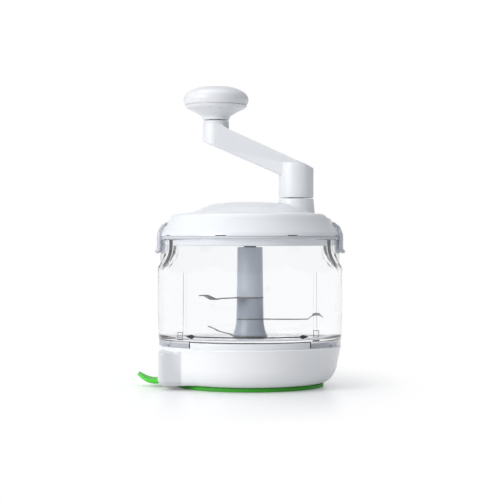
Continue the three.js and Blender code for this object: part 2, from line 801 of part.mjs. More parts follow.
function blade(height, bendShares, hubRadius, turn) {
  const plan = new THREE.Shape();
  const rootHalf = bladeRootWidth / 2;
  const tipHalf = bladeTipWidth / 2;
  plan.moveTo(0, -rootHalf);
  plan.quadraticCurveTo(bladeReach * edgeBendShare, -rootHalf, bladeReach, tipHalf * tipStartShare);
  plan.quadraticCurveTo(bladeReach, tipHalf, bladeReach - bladeTipWidth, tipHalf * tipEndShare);
  plan.quadraticCurveTo(bladeReach * backBendShare, rootHalf * backWidthShare, 0, rootHalf);
  const bend = bendShares.map(([reach, rise]) => [reach * bladeReach, rise * bladeBend]);
  const line = [[-hubRadius - overrun, 0], ...bend].map(
    ([reach, rise]) => [reach, height + bladeThickness / 2 + rise],
  );
  const sheet = across(band(line, bladeThickness), 2 * (hubRadius + overrun));
  const low = height - bladeRootWidth;
  const high = height + bladeRootWidth;
  const flat = cut(joined(upright(plan, low, high), disc(hubRadius, low, high)), disc(sleeveBore, low, high));
  return sheet.intersect(flat).rotate([0, 0, turn]);
}

piece('column_core', columnCore(), 'blueGrey', 'satin');
piece('column_foot_sleeve', footSleeve(), 'blueGrey', 'satin');
piece('column_middle_sleeve', middleSleeve(), 'blueGrey', 'satin');
piece('column_upper_sleeve', upperSleeve(), 'blueGrey', 'satin');
piece('blade_lower', blade(lowerBladeHeight, lowerBladeShares, columnFootRadius, lowerBladeTurn), 'steel', 'metal');
piece('blade_middle', blade(middleBladeHeight, middleBladeShares, columnWaistRadius, middleBladeTurn), 'steel', 'metal');
piece('blade_upper', blade(upperBladeHeight, upperBladeShares, columnWaistRadius, upperBladeTurn), 'steel', 'metal');

// Lid cover: a domed shell with a raised disc and the crank's boss
const coverOutline = [
  ...scaledOutline(shoulderShares, coverRadius, coverBottom, shoulderHeight),
  ...scaledOutline(discShares, discRadius, coverBottom + shoulderHeight, discRise),
];
const bushRadius = shaftRadius + clearance + bushWall;
const bushFlangeRadius = bushRadius + bushFlangeReach;
const bushFlangeBottom = crankBossTop - bushFlangeThickness;

function lidCover() {
  const dome = revolved([[0, coverBottom], ...coverOutline], wideFacets);
  const innerLine = inset(coverOutline, coverWall, coverBottom - overrun, true);
  const hollow = revolved([[0, coverBottom - overrun], ...innerLine], wideFacets);
  const underDome = disc(coverRadius, coverBottom, coverTop, wideFacets);
  const screwBosses = lidScrewAngles.map(
    (angle) => disc(lidBossRadius, coverBottom, coverTop, smallFacets).translate(onCircle(lidScrewCircle, angle)),
  );
  const topBoss = disc(topBossRadius, topBossBottom, coverTop);
  const crankTube = disc(crankBossInnerRadius, crankBossBottom, coverTop).translate([gearCentre, 0, 0]);
  const latchBosses = [left, right].map(
    (side) => crossBar(latchBossRadius, latchBossHalf, side * latchPivotReach, latchPivotHeight),
  );
  const seatPad = across([
    [seatStart, seatStartHeight], [seatEnd, seatEndHeight], [seatEnd, seatEndHeight - coverWall],
    [seatStart, seatStartHeight - coverWall],
  ], 2 * (seatHalfWidth + coverWall));
  const inside = joined(...screwBosses, topBoss, crankTube, ...latchBosses, seatPad)
    .intersect(dome).intersect(underDome);
  const seat = across([
    [seatStart, seatStartHeight], [seatEnd, seatEndHeight], [seatEnd, coverTop], [seatStart, coverTop],
  ], 2 * seatHalfWidth);
  const crankBoss = cone(
    crankBossFootRadius, crankBossRadius, coverBottom + shoulderHeight - coverWall, crankBossTop,
  ).translate([gearCentre, 0, 0]);
  const slots = Array.from({ length: slotCount }, (_, i) => block(
    coverRadius - coverWall * 2, coverRadius + overrun, -slotWidth / 2, slotWidth / 2,
    coverBottom - overrun, coverBottom + slotHeight,
  ).rotate([0, 0, slotOffset - 90 + i * 360 / slotCount]));
  const screwHoles = lidScrewAngles.map(
    (angle) => disc(screwRadius + clearance, coverBottom - overrun, coverBottom + lidScrewLength, smallFacets)
      .translate(onCircle(lidScrewCircle, angle)),
  );
  const topBore = disc(driverNeckRadius + clearance, topBossBottom - overrun, driverTop + clearance, smallFacets);
  const bushBore = disc(bushRadius + clearance, crankBossBottom - overrun, crankBossTop + overrun)
    .translate([gearCentre, 0, 0]);
  const flangeRoom = disc(bushFlangeRadius + clearance, bushFlangeBottom, crankBossTop + overrun)
    .translate([gearCentre, 0, 0]);
  const grooves = [left, right].map((side) => joined(
    crossBar(knuckleRadius + clearance, latchTongueWidth / 2 + clearance, side * latchPivotReach, latchPivotHeight),
    crossBar(latchPinRadius + clearance, latchPinLength / 2 + clearance, side * latchPivotReach, latchPivotHeight),
  ));
  const shell = cut(joined(cut(dome, hollow), inside), seat);
  return cut(joined(shell, crankBoss), ...slots, ...screwHoles, topBore, bushBore, flangeRoom, ...grooves);
}

// Lid plate: the inner plate under the gears, with the skirt that fits the bowl
function lidPlate() {
  const skirtBottom = plateTop - skirtHeight;
  const plate = disc(plateRadius, plateUnder, plateTop, wideFacets);
  const skirt = ring(plateRadius - skirtWall, plateRadius, skirtBottom, plateTop, wideFacets);
  const cupBottom = plateTop - journalDepth - journalCupFloor;
  const journalCup = disc(journalCupRadius, cupBottom, plateTop, smallFacets * 2).translate([gearCentre, 0, 0]);
  const journalBore = disc(journalRadius + clearance, plateTop - journalDepth, plateTop + overrun, smallFacets)
    .translate([gearCentre, 0, 0]);
  const driverSocket = disc(driverSocketRadius, driverBushBottom, plateTop);
  const driverBore = disc(
    driverRadius + driverBushWall + 2 * clearance, driverBushBottom - overrun, plateTop + overrun,
  );
  const screwHoles = lidScrewAngles.map(
    (angle) => disc(screwRadius + clearance, plateUnder - overrun, plateTop + overrun, smallFacets)
      .translate(onCircle(lidScrewCircle, angle)),
  );
  return cut(joined(plate, skirt, journalCup, driverSocket), journalBore, driverBore, ...screwHoles);
}

piece('lid_cover', lidCover(), 'white', 'gloss');
piece('lid_plate', lidPlate(), 'white', 'gloss');
piece(
  'lid_gasket',
  ring(plateRadius + clearance, coverRadius - gasketReach, coverBottom - gasketHeight, coverBottom, wideFacets),
  'gasket', 'soft',
);
lidScrewAngles.forEach((angle, i) => {
  const [x, y] = onCircle(lidScrewCircle, angle);
  piece(`lid_screw_${i + 1}`, screw(x, y, plateUnder, lidScrewLength), 'steel', 'metal');
});

// Latches, each a curved strap with a knuckle on its own pin
function latch(side) {
  const centre = latchCentreShares.map(
    ([lean, rise]) => [bowlRadius + lean * latchLean, coverBottom + rise * latchRise],
  );
  const strap = revolved(band(centre, latchThickness), wideFacets);
  const half = latchWidth / 2;
  const tongue = latchTongueWidth / 2;
  const outline = along([
    [-half, latchBottom], [half, latchBottom], [half, latchShoulder - latchThickness * 2],
    [tongue, latchShoulder], [tongue, latchPivotHeight + 2 * knuckleRadius],
    [-tongue, latchPivotHeight + 2 * knuckleRadius], [-tongue, latchShoulder],
    [-half, latchShoulder - latchThickness * 2],
  ], 0, bowlRadius + 2 * latchThickness);
  const knuckle = crossBar(knuckleRadius, tongue, latchPivotReach, latchPivotHeight);
  const pinHole = crossBar(latchPinRadius + clearance, tongue + overrun, latchPivotReach, latchPivotHeight);
  const body = cut(joined(strap.intersect(outline), knuckle), pinHole);
  return side > 0 ? body : body.rotate([0, 0, 180]);
}

[['left', left], ['right', right]].forEach(([word, side]) => {
  piece(`latch_${word}`, latch(side), 'smoke', 'satin');
  piece(
    `latch_pin_${word}`,
    crossBar(latchPinRadius, latchPinLength / 2, side * latchPivotReach, latchPivotHeight),
    'steel', 'metal',
  );
});

// Gear train: an involute wheel and pinion with stub teeth
function gearOutline(teeth, firstTooth) {
  const pitchRadius = toothModule * teeth / 2;
  const tip = pitchRadius + addendumShare * toothModule;
  const root = pitchRadius - dedendumShare * toothModule;
  const baseCircle = pitchRadius * Math.cos(radians(pressureAngle));
  const involute = (radius) => {
    const angle = Math.acos(Math.min(1, baseCircle / radius));
    return Math.tan(angle) - angle;
  };
  const pitchHalf = Math.PI / (2 * teeth) - backlash / (4 * pitchRadius);
  const flankHalf = (radius) => pitchHalf + involute(pitchRadius) - involute(radius);
  const start = Math.max(root, baseCircle);
  const radii = [root, start, pitchRadius, tip]
    .filter((radius, i, all) => i === 0 || radius > all[i - 1]);
  const points = [];
  for (let tooth = 0; tooth < teeth; tooth += 1) {
    const middle = firstTooth + tooth * 2 * Math.PI / teeth;
    const place = (radius, angle) => new THREE.Vector2(radius * Math.cos(angle), radius * Math.sin(angle));
    radii.forEach((radius) => points.push(place(radius, middle - flankHalf(radius))));
    [...radii].reverse().forEach((radius) => points.push(place(radius, middle + flankHalf(radius))));
  }
  return new THREE.Shape(points);
}

function flatSide(reach, flat, low, high) {
  return block(flat, reach + overrun, -reach - overrun, reach + overrun, low, high);
}

function driveGear() {
  const hubTop = gearTop + driveHubHeight;
  const wheel = upright(gearOutline(driveTeeth, Math.PI), gearBottom, gearTop);
  const hub = disc(driveHubRadius, gearBottom, hubTop);
  const bore = cut(
    disc(shaftRadius + clearance, gearBottom - overrun, hubTop + overrun, smallFacets * 2),
    flatSide(shaftRadius, shaftFlat + clearance, gearBottom - 2 * overrun, hubTop + 2 * overrun),
  );
  const holes = Array.from({ length: driveHoleCount }, (_, i) => disc(
    driveHoleRadius, gearBottom - overrun, gearTop + overrun, smallFacets,
  ).translate(onCircle(driveHoleCircle, i * 360 / driveHoleCount)));
  return cut(joined(wheel, hub), bore, ...holes).translate([gearCentre, 0, 0]);
}

function crankShaft() {
  const top = hubBottom + shaftSocketDepth;
  const flatTop = gearTop + driveHubHeight;
  const body = joined(
    disc(journalRadius, plateTop - journalDepth + clearance, gearBottom + overrun, smallFacets * 2),
    disc(shaftRadius, gearBottom - clearance, top, smallFacets * 2),
  );
  const flat = flatSide(shaftRadius, shaftFlat, gearBottom - overrun, flatTop);
  return cut(body, flat).translate([gearCentre, 0, 0]);
}

function shaftBush() {
  return cut(
    joined(
      disc(bushRadius, crankBossBottom, crankBossTop),
      disc(bushFlangeRadius, bushFlangeBottom, crankBossTop),
    ),
    disc(shaftRadius + clearance, crankBossBottom - overrun, crankBossTop + overrun, smallFacets * 2),
  ).translate([gearCentre, 0, 0]);
}

function shaftClip() {
  const clipTop = crankBossBottom - clearance;
  return ring(shaftRadius + clipClearance, clipRadius, clipTop - clipThickness, clipTop, smallFacets * 2)
    .translate([gearCentre, 0, 0]);
}

function driverPinion() {
  const halfStep = Math.PI / pinionTeeth;
  const hubTop = gearTop + pinionHubHeight;
  const wheel = upright(gearOutline(pinionTeeth, halfStep), gearBottom, gearTop);
  const hub = disc(pinionHubRadius, gearBottom, hubTop, smallFacets * 2);
  const bore = cut(
    disc(driverNeckRadius + clearance, gearBottom - overrun, hubTop + overrun, smallFacets),
    flatSide(driverNeckRadius, driverFlat + clearance, gearBottom - 2 * overrun, hubTop + 2 * overrun),
  );
  return cut(joined(wheel, hub), bore);
}

function driverShaft() {
  const shoulder = gearBottom - clearance;
  const hubTop = gearTop + pinionHubHeight;
  const body = joined(
    hexagon(driverFlats, driverTip, driverHexTop + overrun),
    disc(driverRadius, driverHexTop, shoulder, smallFacets * 2),
    disc(driverNeckRadius, shoulder - overrun, driverTop, smallFacets),
  );
  return cut(body, flatSide(driverNeckRadius, driverFlat, shoulder, hubTop));
}

function driverBush() {
  const outer = driverRadius + clearance + driverBushWall;
  const flangeTop = plateTop + driverBushFlange;
  return cut(
    joined(
      disc(outer, driverBushBottom, flangeTop),
      disc(driverSocketRadius, plateTop, flangeTop),
    ),
    disc(driverRadius + clearance, driverBushBottom - overrun, flangeTop + overrun, smallFacets * 2),
  );
}

piece('drive_gear', driveGear(), 'natural', 'satin');
piece('crank_shaft', crankShaft(), 'steel', 'metal');
piece('shaft_bush', shaftBush(), 'natural', 'satin');
piece('shaft_clip', shaftClip(), 'steel', 'metal');
piece('driver_pinion', driverPinion(), 'natural', 'satin');
piece('driver_shaft', driverShaft(), 'darkGrey', 'satin');
piece('driver_bush', driverBush(), 'natural', 'satin');

// Crank arm: a slanted bar between the hub and the knob's post
const knobX = gearCentre - crankThrow;

function crankArm() {
  const farLeft = knobX - postEndRadius;
  const farRight = gearCentre + hubRadius;
  const lean = Math.acos((barHubHalf - postEndRadius) / crankThrow);
  const plan = new THREE.Shape();
  plan.absarc(gearCentre, 0, barHubHalf, lean - Math.PI, Math.PI - lean, false);
  plan.absarc(knobX, 0, postEndRadius, Math.PI - lean, lean - Math.PI, false);
  const side = across([
    [farLeft, armPostBottom], [gearCentre - hubRadius, armHubCorner], [gearCentre - hubRadius, hubBottom],
    [farRight, hubBottom], [farRight, armHubTop], [gearCentre + armSlopeReach, armSlopeStart],
    [knobX + postEndRadius, armPostCorner], [knobX + armShoulderReach, armPostShoulder],
    [farLeft, armPostShoulder],
  ], 2 * hubRadius + overrun);
  const bar = side.intersect(upright(plan, hubBottom, postTop));
  const hub = side.intersect(disc(hubRadius, hubBottom, postTop).translate([gearCentre, 0, 0]));
  const neck = disc(postNeckRadius, armPostShoulder - overrun, postTop).translate([knobX, 0, 0]);
  const post = disc(postEndRadius, armPostShoulder - 2 * postEndRadius, armPostShoulder)
    .translate([knobX, 0, 0]).intersect(side);
  const threadHole = disc(axleThreadRadius + clearance, postTop - axleThreadLength, postTop + overrun, smallFacets)
    .translate([knobX, 0, 0]);
  const shaftHole = disc(
    shaftRadius + clearance, hubBottom - overrun, hubBottom + shaftSocketDepth + clearance, smallFacets * 2,
  ).translate([gearCentre, 0, 0]);
  return cut(joined(bar, hub, post, neck), threadHole, shaftHole);
}

// Knob: a lower shell with its neck, an upper cap, and the axle it spins on
const knobBottom = postTop + knobSeam;
const knobSplit = knobBottom + knobBodyHeight;

function knobBody() {
  const outer = scaledOutline(knobBodyShares, knobRadius, knobBottom, knobBodyHeight);
  const floor = knobBottom + knobFloorRise;
  const rimInner = outer.at(-1)[0] - knobWall;
  return revolved([
    [axleRadius + clearance, knobBottom], ...outer, [rimInner, knobSplit],
    [rimInner * knobInsideShare, knobSplit - knobWall], [knobPocketRadius, floor], [axleRadius + clearance, floor],
  ], middleFacets).translate([knobX, 0, 0]);
}

function knobCap() {
  const outer = scaledOutline(knobCapShares, knobRadius, knobSplit, knobCapHeight);
  const inner = inset(outer, knobWall, knobSplit, true);
  return revolved([...outer, ...inner.reverse()], middleFacets).translate([knobX, 0, 0]);
}

function knobAxle() {
  const floor = knobBottom + knobFloorRise + clearance;
  return joined(
    disc(axleThreadRadius, postTop - axleThreadLength, postTop + overrun, smallFacets),
    disc(axleRadius, postTop, floor + overrun, smallFacets),
    disc(axleHeadRadius, floor, floor + axleHeadHeight, smallFacets),
  ).translate([knobX, 0, 0]);
}

piece('crank_arm', crankArm(), 'white', 'gloss');
piece('knob_axle', knobAxle(), 'steel', 'metal');
piece('knob_body', knobBody(), 'white', 'gloss');
piece('knob_cap', knobCap(), 'white', 'gloss');

export default processor;
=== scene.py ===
import math

import bmesh
import bpy
from mathutils import Matrix, Vector


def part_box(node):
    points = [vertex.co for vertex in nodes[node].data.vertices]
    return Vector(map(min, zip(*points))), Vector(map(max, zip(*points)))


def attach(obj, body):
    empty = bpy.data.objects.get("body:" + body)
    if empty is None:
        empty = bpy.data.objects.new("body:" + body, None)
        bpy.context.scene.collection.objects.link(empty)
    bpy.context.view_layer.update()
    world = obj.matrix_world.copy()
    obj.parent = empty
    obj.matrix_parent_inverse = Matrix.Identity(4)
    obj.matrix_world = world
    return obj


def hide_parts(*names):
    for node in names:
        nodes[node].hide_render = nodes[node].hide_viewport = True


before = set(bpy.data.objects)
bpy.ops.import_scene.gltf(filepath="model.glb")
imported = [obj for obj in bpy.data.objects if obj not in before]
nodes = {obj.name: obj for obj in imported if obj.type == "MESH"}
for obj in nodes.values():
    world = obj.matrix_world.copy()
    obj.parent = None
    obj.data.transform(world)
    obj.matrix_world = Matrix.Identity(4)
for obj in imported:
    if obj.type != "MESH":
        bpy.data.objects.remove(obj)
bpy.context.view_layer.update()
mm = 0.001

# Stage. A pale, slightly glossy table under a white sweep, lit by one wide soft lamp high on
# the left, a weaker one overhead and a low world light, seen through a long lens.
camera_height = 118 * mm
camera_distance = 1298 * mm
aim_height = 110 * mm
focal_length = 115.2
table_size = 9
table_gap = 0.2 * mm
table_colour = (0.86, 0.86, 0.87, 1)
table_glow = 0.16
table_roughness = 0.3
table_fade_near = 0.068
table_fade_far = 0.15
table_fade_depth = 0.5
world_light = 0.47
side_reflection = 0.32
backdrop_spread = 0.8
world_tint = (0.93, 0.96, 1, 1)
white = (1, 1, 1, 1)
# Each lamp: its name, place, width, height, watts and tint.
lamps = [
    ("key_lamp", (-1.3, -1.05, 0.8), 0.9, 1.1, 19, (1, 0.99, 0.98)),
    ("top_lamp", (-0.2, 0.1, 1.5), 1.2, 1.2, 7, (1, 1, 1)),
]
aim = Vector((0, 0, aim_height))


def linked_object(name, data):
    """A new object in the scene."""
    made = bpy.data.objects.new(name, data)
    bpy.context.scene.collection.objects.link(made)
    return made


def soft_lamp(name, place, width, height, watts, tint):
    """A rectangular studio lamp that points at the object's middle."""
    lamp = bpy.data.lights.new(name, "AREA")
    lamp.shape = "RECTANGLE"
    lamp.size = width
    lamp.size_y = height
    lamp.energy = watts
    lamp.color = tint
    holder = linked_object(name, lamp)
    holder.location = place
    holder.rotation_euler = (aim - Vector(place)).to_track_quat("-Z", "Y").to_euler()


camera = linked_object("camera", bpy.data.cameras.new("camera"))
camera.data.lens = focal_length
camera.location = (0, -camera_distance, camera_height)
camera.rotation_euler = (aim - camera.location).to_track_quat("-Z", "Y").to_euler()
bpy.context.scene.camera = camera
bpy.context.scene.view_settings.view_transform = "Standard"
for lamp_values in lamps:
    soft_lamp(*lamp_values)

world = bpy.data.worlds.new("studio")
bpy.context.scene.world = world
world.use_nodes = True
world_tree = world.node_tree
world_tree.nodes.clear()


def fed(tree, node, feeds):
    """Link a node's inputs, by name or number, to sockets, or set them to values."""
    for slot, feed in feeds.items():
        if isinstance(feed, bpy.types.NodeSocket):
            tree.links.new(feed, node.inputs[slot])
        else:
            node.inputs[slot].default_value = feed
    return node


def new_node(tree, kind, feeds):
    """A new node with its inputs linked or set."""
    return fed(tree, tree.nodes.new(kind), feeds)


def reckoned(tree, operation, *feeds):
    """The result of one step of arithmetic on sockets or numbers."""
    step = new_node(tree, "ShaderNodeMath", dict(enumerate(feeds)))
    step.operation = operation
    return step.outputs[0]


def ramp(tree, source, none, full, low=0, high=1, smooth=False):
    """A socket that goes from low to high while the source goes from none to full."""
    step = new_node(tree, "ShaderNodeMapRange", {
        "Value": source, "From Min": none, "From Max": full, "To Min": low, "To Max": high,
    })
    if smooth:
        step.interpolation_type = "SMOOTHSTEP"
    return step.outputs[0]


def stretched(tree, source, factors):
    """A vector multiplied axis by axis."""
    step = new_node(tree, "ShaderNodeVectorMath", {0: source, 1: factors})
    step.operation = "MULTIPLY"
    return step.outputs[0]


def mixed_colour(tree, blend, share, first, second):
    """The colour that one kind of blend makes of two colours."""
    step = tree.nodes.new("ShaderNodeMix")
    step.data_type = "RGBA"
    step.blend_type = blend
    return fed(tree, step, {"Factor": share, 6: first, 7: second}).outputs[2]


def object_place(tree):
    """The socket that says where on the object a point lies."""
    return tree.nodes.new("ShaderNodeTexCoord").outputs["Object"]


def any_ray(tree, *kinds):
    """A socket that is 1 for rays of any of the named kinds."""
    path = tree.nodes.new("ShaderNodeLightPath")
    result = path.outputs[kinds[0]]
    for kind in kinds[1:]:
        result = reckoned(tree, "MAXIMUM", result, path.outputs[kind])
    return result


def mixed_shader(tree, share, first, second):
    """The output of a mix of two shaders."""
    return new_node(tree, "ShaderNodeMixShader", {"Fac": share, 1: first, 2: second}).outputs[0]


def plain_material(name):
    """A new material, its tree and its shader."""
    material = bpy.data.materials.new(name)
    material.use_nodes = True
    return material, material.node_tree, material.node_tree.nodes["Principled BSDF"]


# Glossy surfaces see the white backdrop only behind the object; the room beside it is darker.
gaze = new_node(world_tree, "ShaderNodeSeparateXYZ", {
    0: world_tree.nodes.new("ShaderNodeTexCoord").outputs["Generated"],
})
behind = ramp(world_tree, gaze.outputs["Y"], backdrop_spread, 1, side_reflection, 1)
plain_view = any_ray(world_tree, "Is Camera Ray", "Is Transmission Ray")
ambient = new_node(world_tree, "ShaderNodeBackground", {"Color": world_tint, "Strength": world_light})
backdrop = new_node(world_tree, "ShaderNodeBackground", {
    "Color": white, "Strength": reckoned(world_tree, "MAXIMUM", plain_view, behind),
})
seen = any_ray(world_tree, "Is Camera Ray", "Is Glossy Ray", "Is Transmission Ray")
seen_or_lit = mixed_shader(world_tree, seen, ambient.outputs[0], backdrop.outputs[0])
new_node(world_tree, "ShaderNodeOutputWorld", {"Surface": seen_or_lit})

table_mesh = bpy.data.meshes.new("table")
half_table = table_size / 2
table_mesh.from_pydata(
    [(-half_table, -half_table, -table_gap), (half_table, -half_table, -table_gap),
     (half_table, half_table, -table_gap), (-half_table, half_table, -table_gap)],
    [], [(0, 1, 2, 3)],
)
table = linked_object("table", table_mesh)
table_material, table_tree, table_shader = plain_material("table_top")
table_shader.inputs["Base Color"].default_value = table_colour
table_shader.inputs["Roughness"].default_value = table_roughness
looked_at = any_ray(table_tree, "Is Camera Ray", "Is Glossy Ray", "Is Transmission Ray")
glow = new_node(table_tree, "ShaderNodeEmission", {
    "Color": white, "Strength": reckoned(table_tree, "MULTIPLY", looked_at, table_glow),
})
both = new_node(table_tree, "ShaderNodeAddShader", {0: table_shader.outputs[0], 1: glow.outputs[0]})
distance = new_node(table_tree, "ShaderNodeVectorMath", {
    0: stretched(table_tree, object_place(table_tree), (1, table_fade_depth, 0)),
})
distance.operation = "LENGTH"
fade = ramp(table_tree, distance.outputs["Value"], table_fade_near, table_fade_far, smooth=True)
sweep_white = new_node(table_tree, "ShaderNodeEmission", {"Color": white})
near_or_far = mixed_shader(
    table_tree, reckoned(table_tree, "MULTIPLY", fade, looked_at), both.outputs[0], sweep_white.outputs[0],
)
fed(table_tree, table_tree.nodes["Material Output"], {"Surface": near_or_far})
table.data.materials.append(table_material)

# Base shell. One glossy white moulding, open below: a round tub whose left side is squared
# off to house the suction lever. It is clamped between the deck and the under plate.
shell_low, shell_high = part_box("base_shell")
base_radius = shell_high.x
base_bottom = shell_low.z
base_top = shell_high.z
base_height = base_top - base_bottom
base_wall = 2.4 * mm
base_shares = [
    (0.8, 0), (0.845, 0.04), (0.899, 0.157), (0.942, 0.357), (0.961, 0.58), (0.987, 0.89), (1, 1),
]
housing_reach = 72.5 * mm
housing_half_width = 45.5 * mm
housing_corner = 5 * mm
housing_top_edge = 3 * mm
housing_foot_edge = 5.5 * mm
housing_drop = 2.5 * mm
housing_top = base_top - housing_drop
housing_blend = 5 * mm
rim_round = 0.7 * mm
deck_room = 71.1 * mm
deck_seat_drop = 3.3 * mm
deck_seat = base_top - deck_seat_drop
ledge_radius = 66 * mm
ledge_thickness = 2 * mm
flange_radius = 57 * mm
flange_bottom = 7.8 * mm
flange_thickness = 2 * mm
lever_room_half = 15 * mm
lever_room_top = 25 * mm
lever_room_round = 2 * mm
# Cutters reach this far past what they cut, and joined solids this far into each other.
overshoot = 1 * mm
weld_distance = 0.001 * mm
base_white = (0.92, 0.93, 0.945, 1)
sharp_angle = math.radians(38)


def on_circle(radius, angle, height):
    """The place at a radius, an angle and a height."""
    return radius * math.cos(angle), radius * math.sin(angle), height


def smooth_line(points, steps):
    """A smooth line through points, as a Catmull-Rom curve with steps stretches between two points."""
    ends = [points[0], *points, points[-1]]
    line = []
    for a, b, c, d in zip(ends, ends[1:], ends[2:], ends[3:]):
        for t in [k / steps for k in range(steps)]:
            t_cubed = t ** 3
            line.append(tuple(
                0.5 * (2 * q + (r - p) * t + (2 * p - 5 * q + 4 * r - s) * t * t
                       + (3 * q - p - 3 * r + s) * t_cubed)
                for p, q, r, s in zip(a, b, c, d)
            ))
    return [*line, tuple(points[-1])]


def scaled_line(shares, steps, reach, start, height):
    """A smooth line through shares of a reach and of a height above a start."""
    return [(share * reach, start + rise * height) for share, rise in smooth_line(shares, steps)]


def directions(line):
    """Unit vectors along a line of points at each of them."""
    result = []
    for i in range(len(line)):
        before, after = line[max(i - 1, 0)], line[min(i + 1, len(line) - 1)]
        result.append((Vector(after) - Vector(before)).normalized())
    return result


def drawn_in(line, wall):
    """A line moved inwards by a wall's thickness, but never past the axis."""
    return [
        (max(radius - wall * abs(direction.y), 0), height - wall * abs(direction.x))
        for (radius, height), direction in zip(line, directions(line))
    ]


def made_piece(name, verts, faces):
    """A smooth shaded object whose faces point outwards, with sharp edges kept sharp."""
    mesh = bpy.data.meshes.new(name)
    mesh.from_pydata(verts, [], faces)
    work = bmesh.new()
    work.from_mesh(mesh)
    bmesh.ops.remove_doubles(work, verts=work.verts, dist=weld_distance)
    bmesh.ops.recalc_face_normals(work, faces=work.faces)
    work.to_mesh(mesh)
    work.free()
    made = linked_object(name, mesh)
    shade(made)
    return made


def shade(made):
    """Smooth shading that breaks at the piece's sharp edges."""
    made.data.shade_smooth()
    made.data.set_sharp_from_angle(angle=sharp_angle)


def between(rings, closed):
    """Faces between each ring of vertex numbers and the next one."""
    faces = []
    following = rings[1:] + rings[:1] if closed else rings[1:]
    for low, high in zip(rings, following):
        for k in range(len(low)):
            after = (k + 1) % len(low)
            corners = list(dict.fromkeys([low[k], low[after], high[after], high[k]]))
            if len(corners) > 2:
                faces.append(corners)
    return faces


def skinned(name, loops, closed=False):
    """A piece through loops of points: the last loop joins the first, or both ends are capped."""
    verts, rings = [], []
    for loop in loops:
        rings.append(list(range(len(verts), len(verts) + len(loop))))
        verts += [tuple(point) for point in loop]
    caps = [] if closed else [rings[0], rings[-1]]
    return made_piece(name, verts, between(rings, closed) + caps)


def evaluated_mesh(made):
    """The object's mesh with its modifiers applied."""
    bpy.context.view_layer.update()
    graph = bpy.context.evaluated_depsgraph_get()
    return bpy.data.meshes.new_from_object(made.evaluated_get(graph))


def apply_modifiers(made):
    """Make the modifiers' result the piece's own mesh."""
    result = evaluated_mesh(made)
    made.modifiers.clear()
    made.data = result
    result.name = made.name


def carve(made, operation, tools):
    """Join other solids to a piece, or cut them out of it, and delete them."""
    for tool in tools:
        step = made.modifiers.new(operation, "BOOLEAN")
        step.operation = operation
        step.solver = "EXACT"
        step.object = tool
        apply_modifiers(made)
    for tool in tools:
        bpy.data.objects.remove(tool)
    shade(made)
    return made


def box_piece(name, low, high, rounding=0, segments=3):
    """A block between two corners, with its edges rounded."""
    middle = (Vector(low) + Vector(high)) / 2
    size = Vector(high) - Vector(low)
    work = bmesh.new()
    bmesh.ops.create_cube(work, size=1, matrix=Matrix.Translation(middle) @ Matrix.Diagonal((*size, 1)))
    if rounding > 0:
        bmesh.ops.bevel(
            work, geom=work.edges[:], offset=rounding, segments=segments, profile=0.5, affect="EDGES",
        )
    mesh = bpy.data.meshes.new(name)
    work.to_mesh(mesh)
    work.free()
    return linked_object(name, mesh)


def skin_group(name, values):
    """An empty shader group with a colour and other values as inputs, and what a skin needs as outputs."""
    tree = bpy.data.node_groups.new(name, "ShaderNodeTree")
    kinds = {float: "NodeSocketFloat", tuple: "NodeSocketVector"}
    inputs = [("Colour", "NodeSocketColor", white)]
    inputs += [(label, kinds[type(value)], value) for label, value in values.items()]
    for label, kind, value in inputs:
        tree.interface.new_socket(name=label, in_out="INPUT", socket_type=kind).default_value = value
    for label, kind in [
        ("Colour", "NodeSocketColor"), ("Roughness", "NodeSocketFloat"), ("Normal", "NodeSocketVector"),
    ]:
        tree.interface.new_socket(name=label, in_out="OUTPUT", socket_type=kind)
    return tree, tree.nodes.new("NodeGroupInput").outputs, tree.nodes.new("NodeGroupOutput")


def scaled_noise(tree, source, size_socket, detail):
    """Noise whose spots have the size in metres that a socket gives."""
    scale = reckoned(tree, "DIVIDE", 1, size_socket)
    noise = new_node(tree, "ShaderNodeTexNoise", {"Vector": source, "Scale": scale, "Detail": detail})
    return noise.outputs["Fac"]


def skin_result(tree, entry, leave, value, patches, spread, relief, height):
    """Lead a brightness, uneven gloss and a fine relief to the group's outputs."""
    tinted = new_node(tree, "ShaderNodeHueSaturation", {"Color": entry["Colour"], "Value": value})
    bump = new_node(tree, "ShaderNodeBump", {"Height": relief, "Distance": height})
    fed(tree, leave, {
        "Colour": tinted.outputs["Color"], "Normal": bump.outputs["Normal"],
        "Roughness": reckoned(tree, "MULTIPLY_ADD", patches, spread, entry["Roughness"]),
    })
    return tree


def moulded_skin():
    """Shader group: faint mottling, uneven gloss, a painted highlight that lightens sharp edges, and the fine
    orange peel of a moulded part.
    """
    bent_from, bent_full = 0.52, 0.6
    tree, entry, leave = skin_group("moulded_skin", {
        "Mottle": 0.03, "Mottle Size": 0.03, "Roughness": 0.3, "Polish": 0.1, "Peel Size": 0.001,
        "Peel Height": 0.00001, "Edge Light": 0.04,
    })
    place = object_place(tree)
    mottle = scaled_noise(tree, place, entry["Mottle Size"], 3)
    peel = scaled_noise(tree, place, entry["Peel Size"], 2)
    edge = ramp(tree, tree.nodes.new("ShaderNodeNewGeometry").outputs["Pointiness"], bent_from, bent_full)
    darker = reckoned(tree, "MULTIPLY", mottle, entry["Mottle"])
    # Painted highlight: the colour is made lighter along sharp edges.
    edge_highlight = reckoned(tree, "MULTIPLY", edge, entry["Edge Light"])
    value = reckoned(tree, "ADD", reckoned(tree, "SUBTRACT", edge_highlight, darker), 1)
    return skin_result(tree, entry, leave, value, mottle, entry["Polish"], peel, entry["Peel Height"])


moulded_skin_group = moulded_skin()


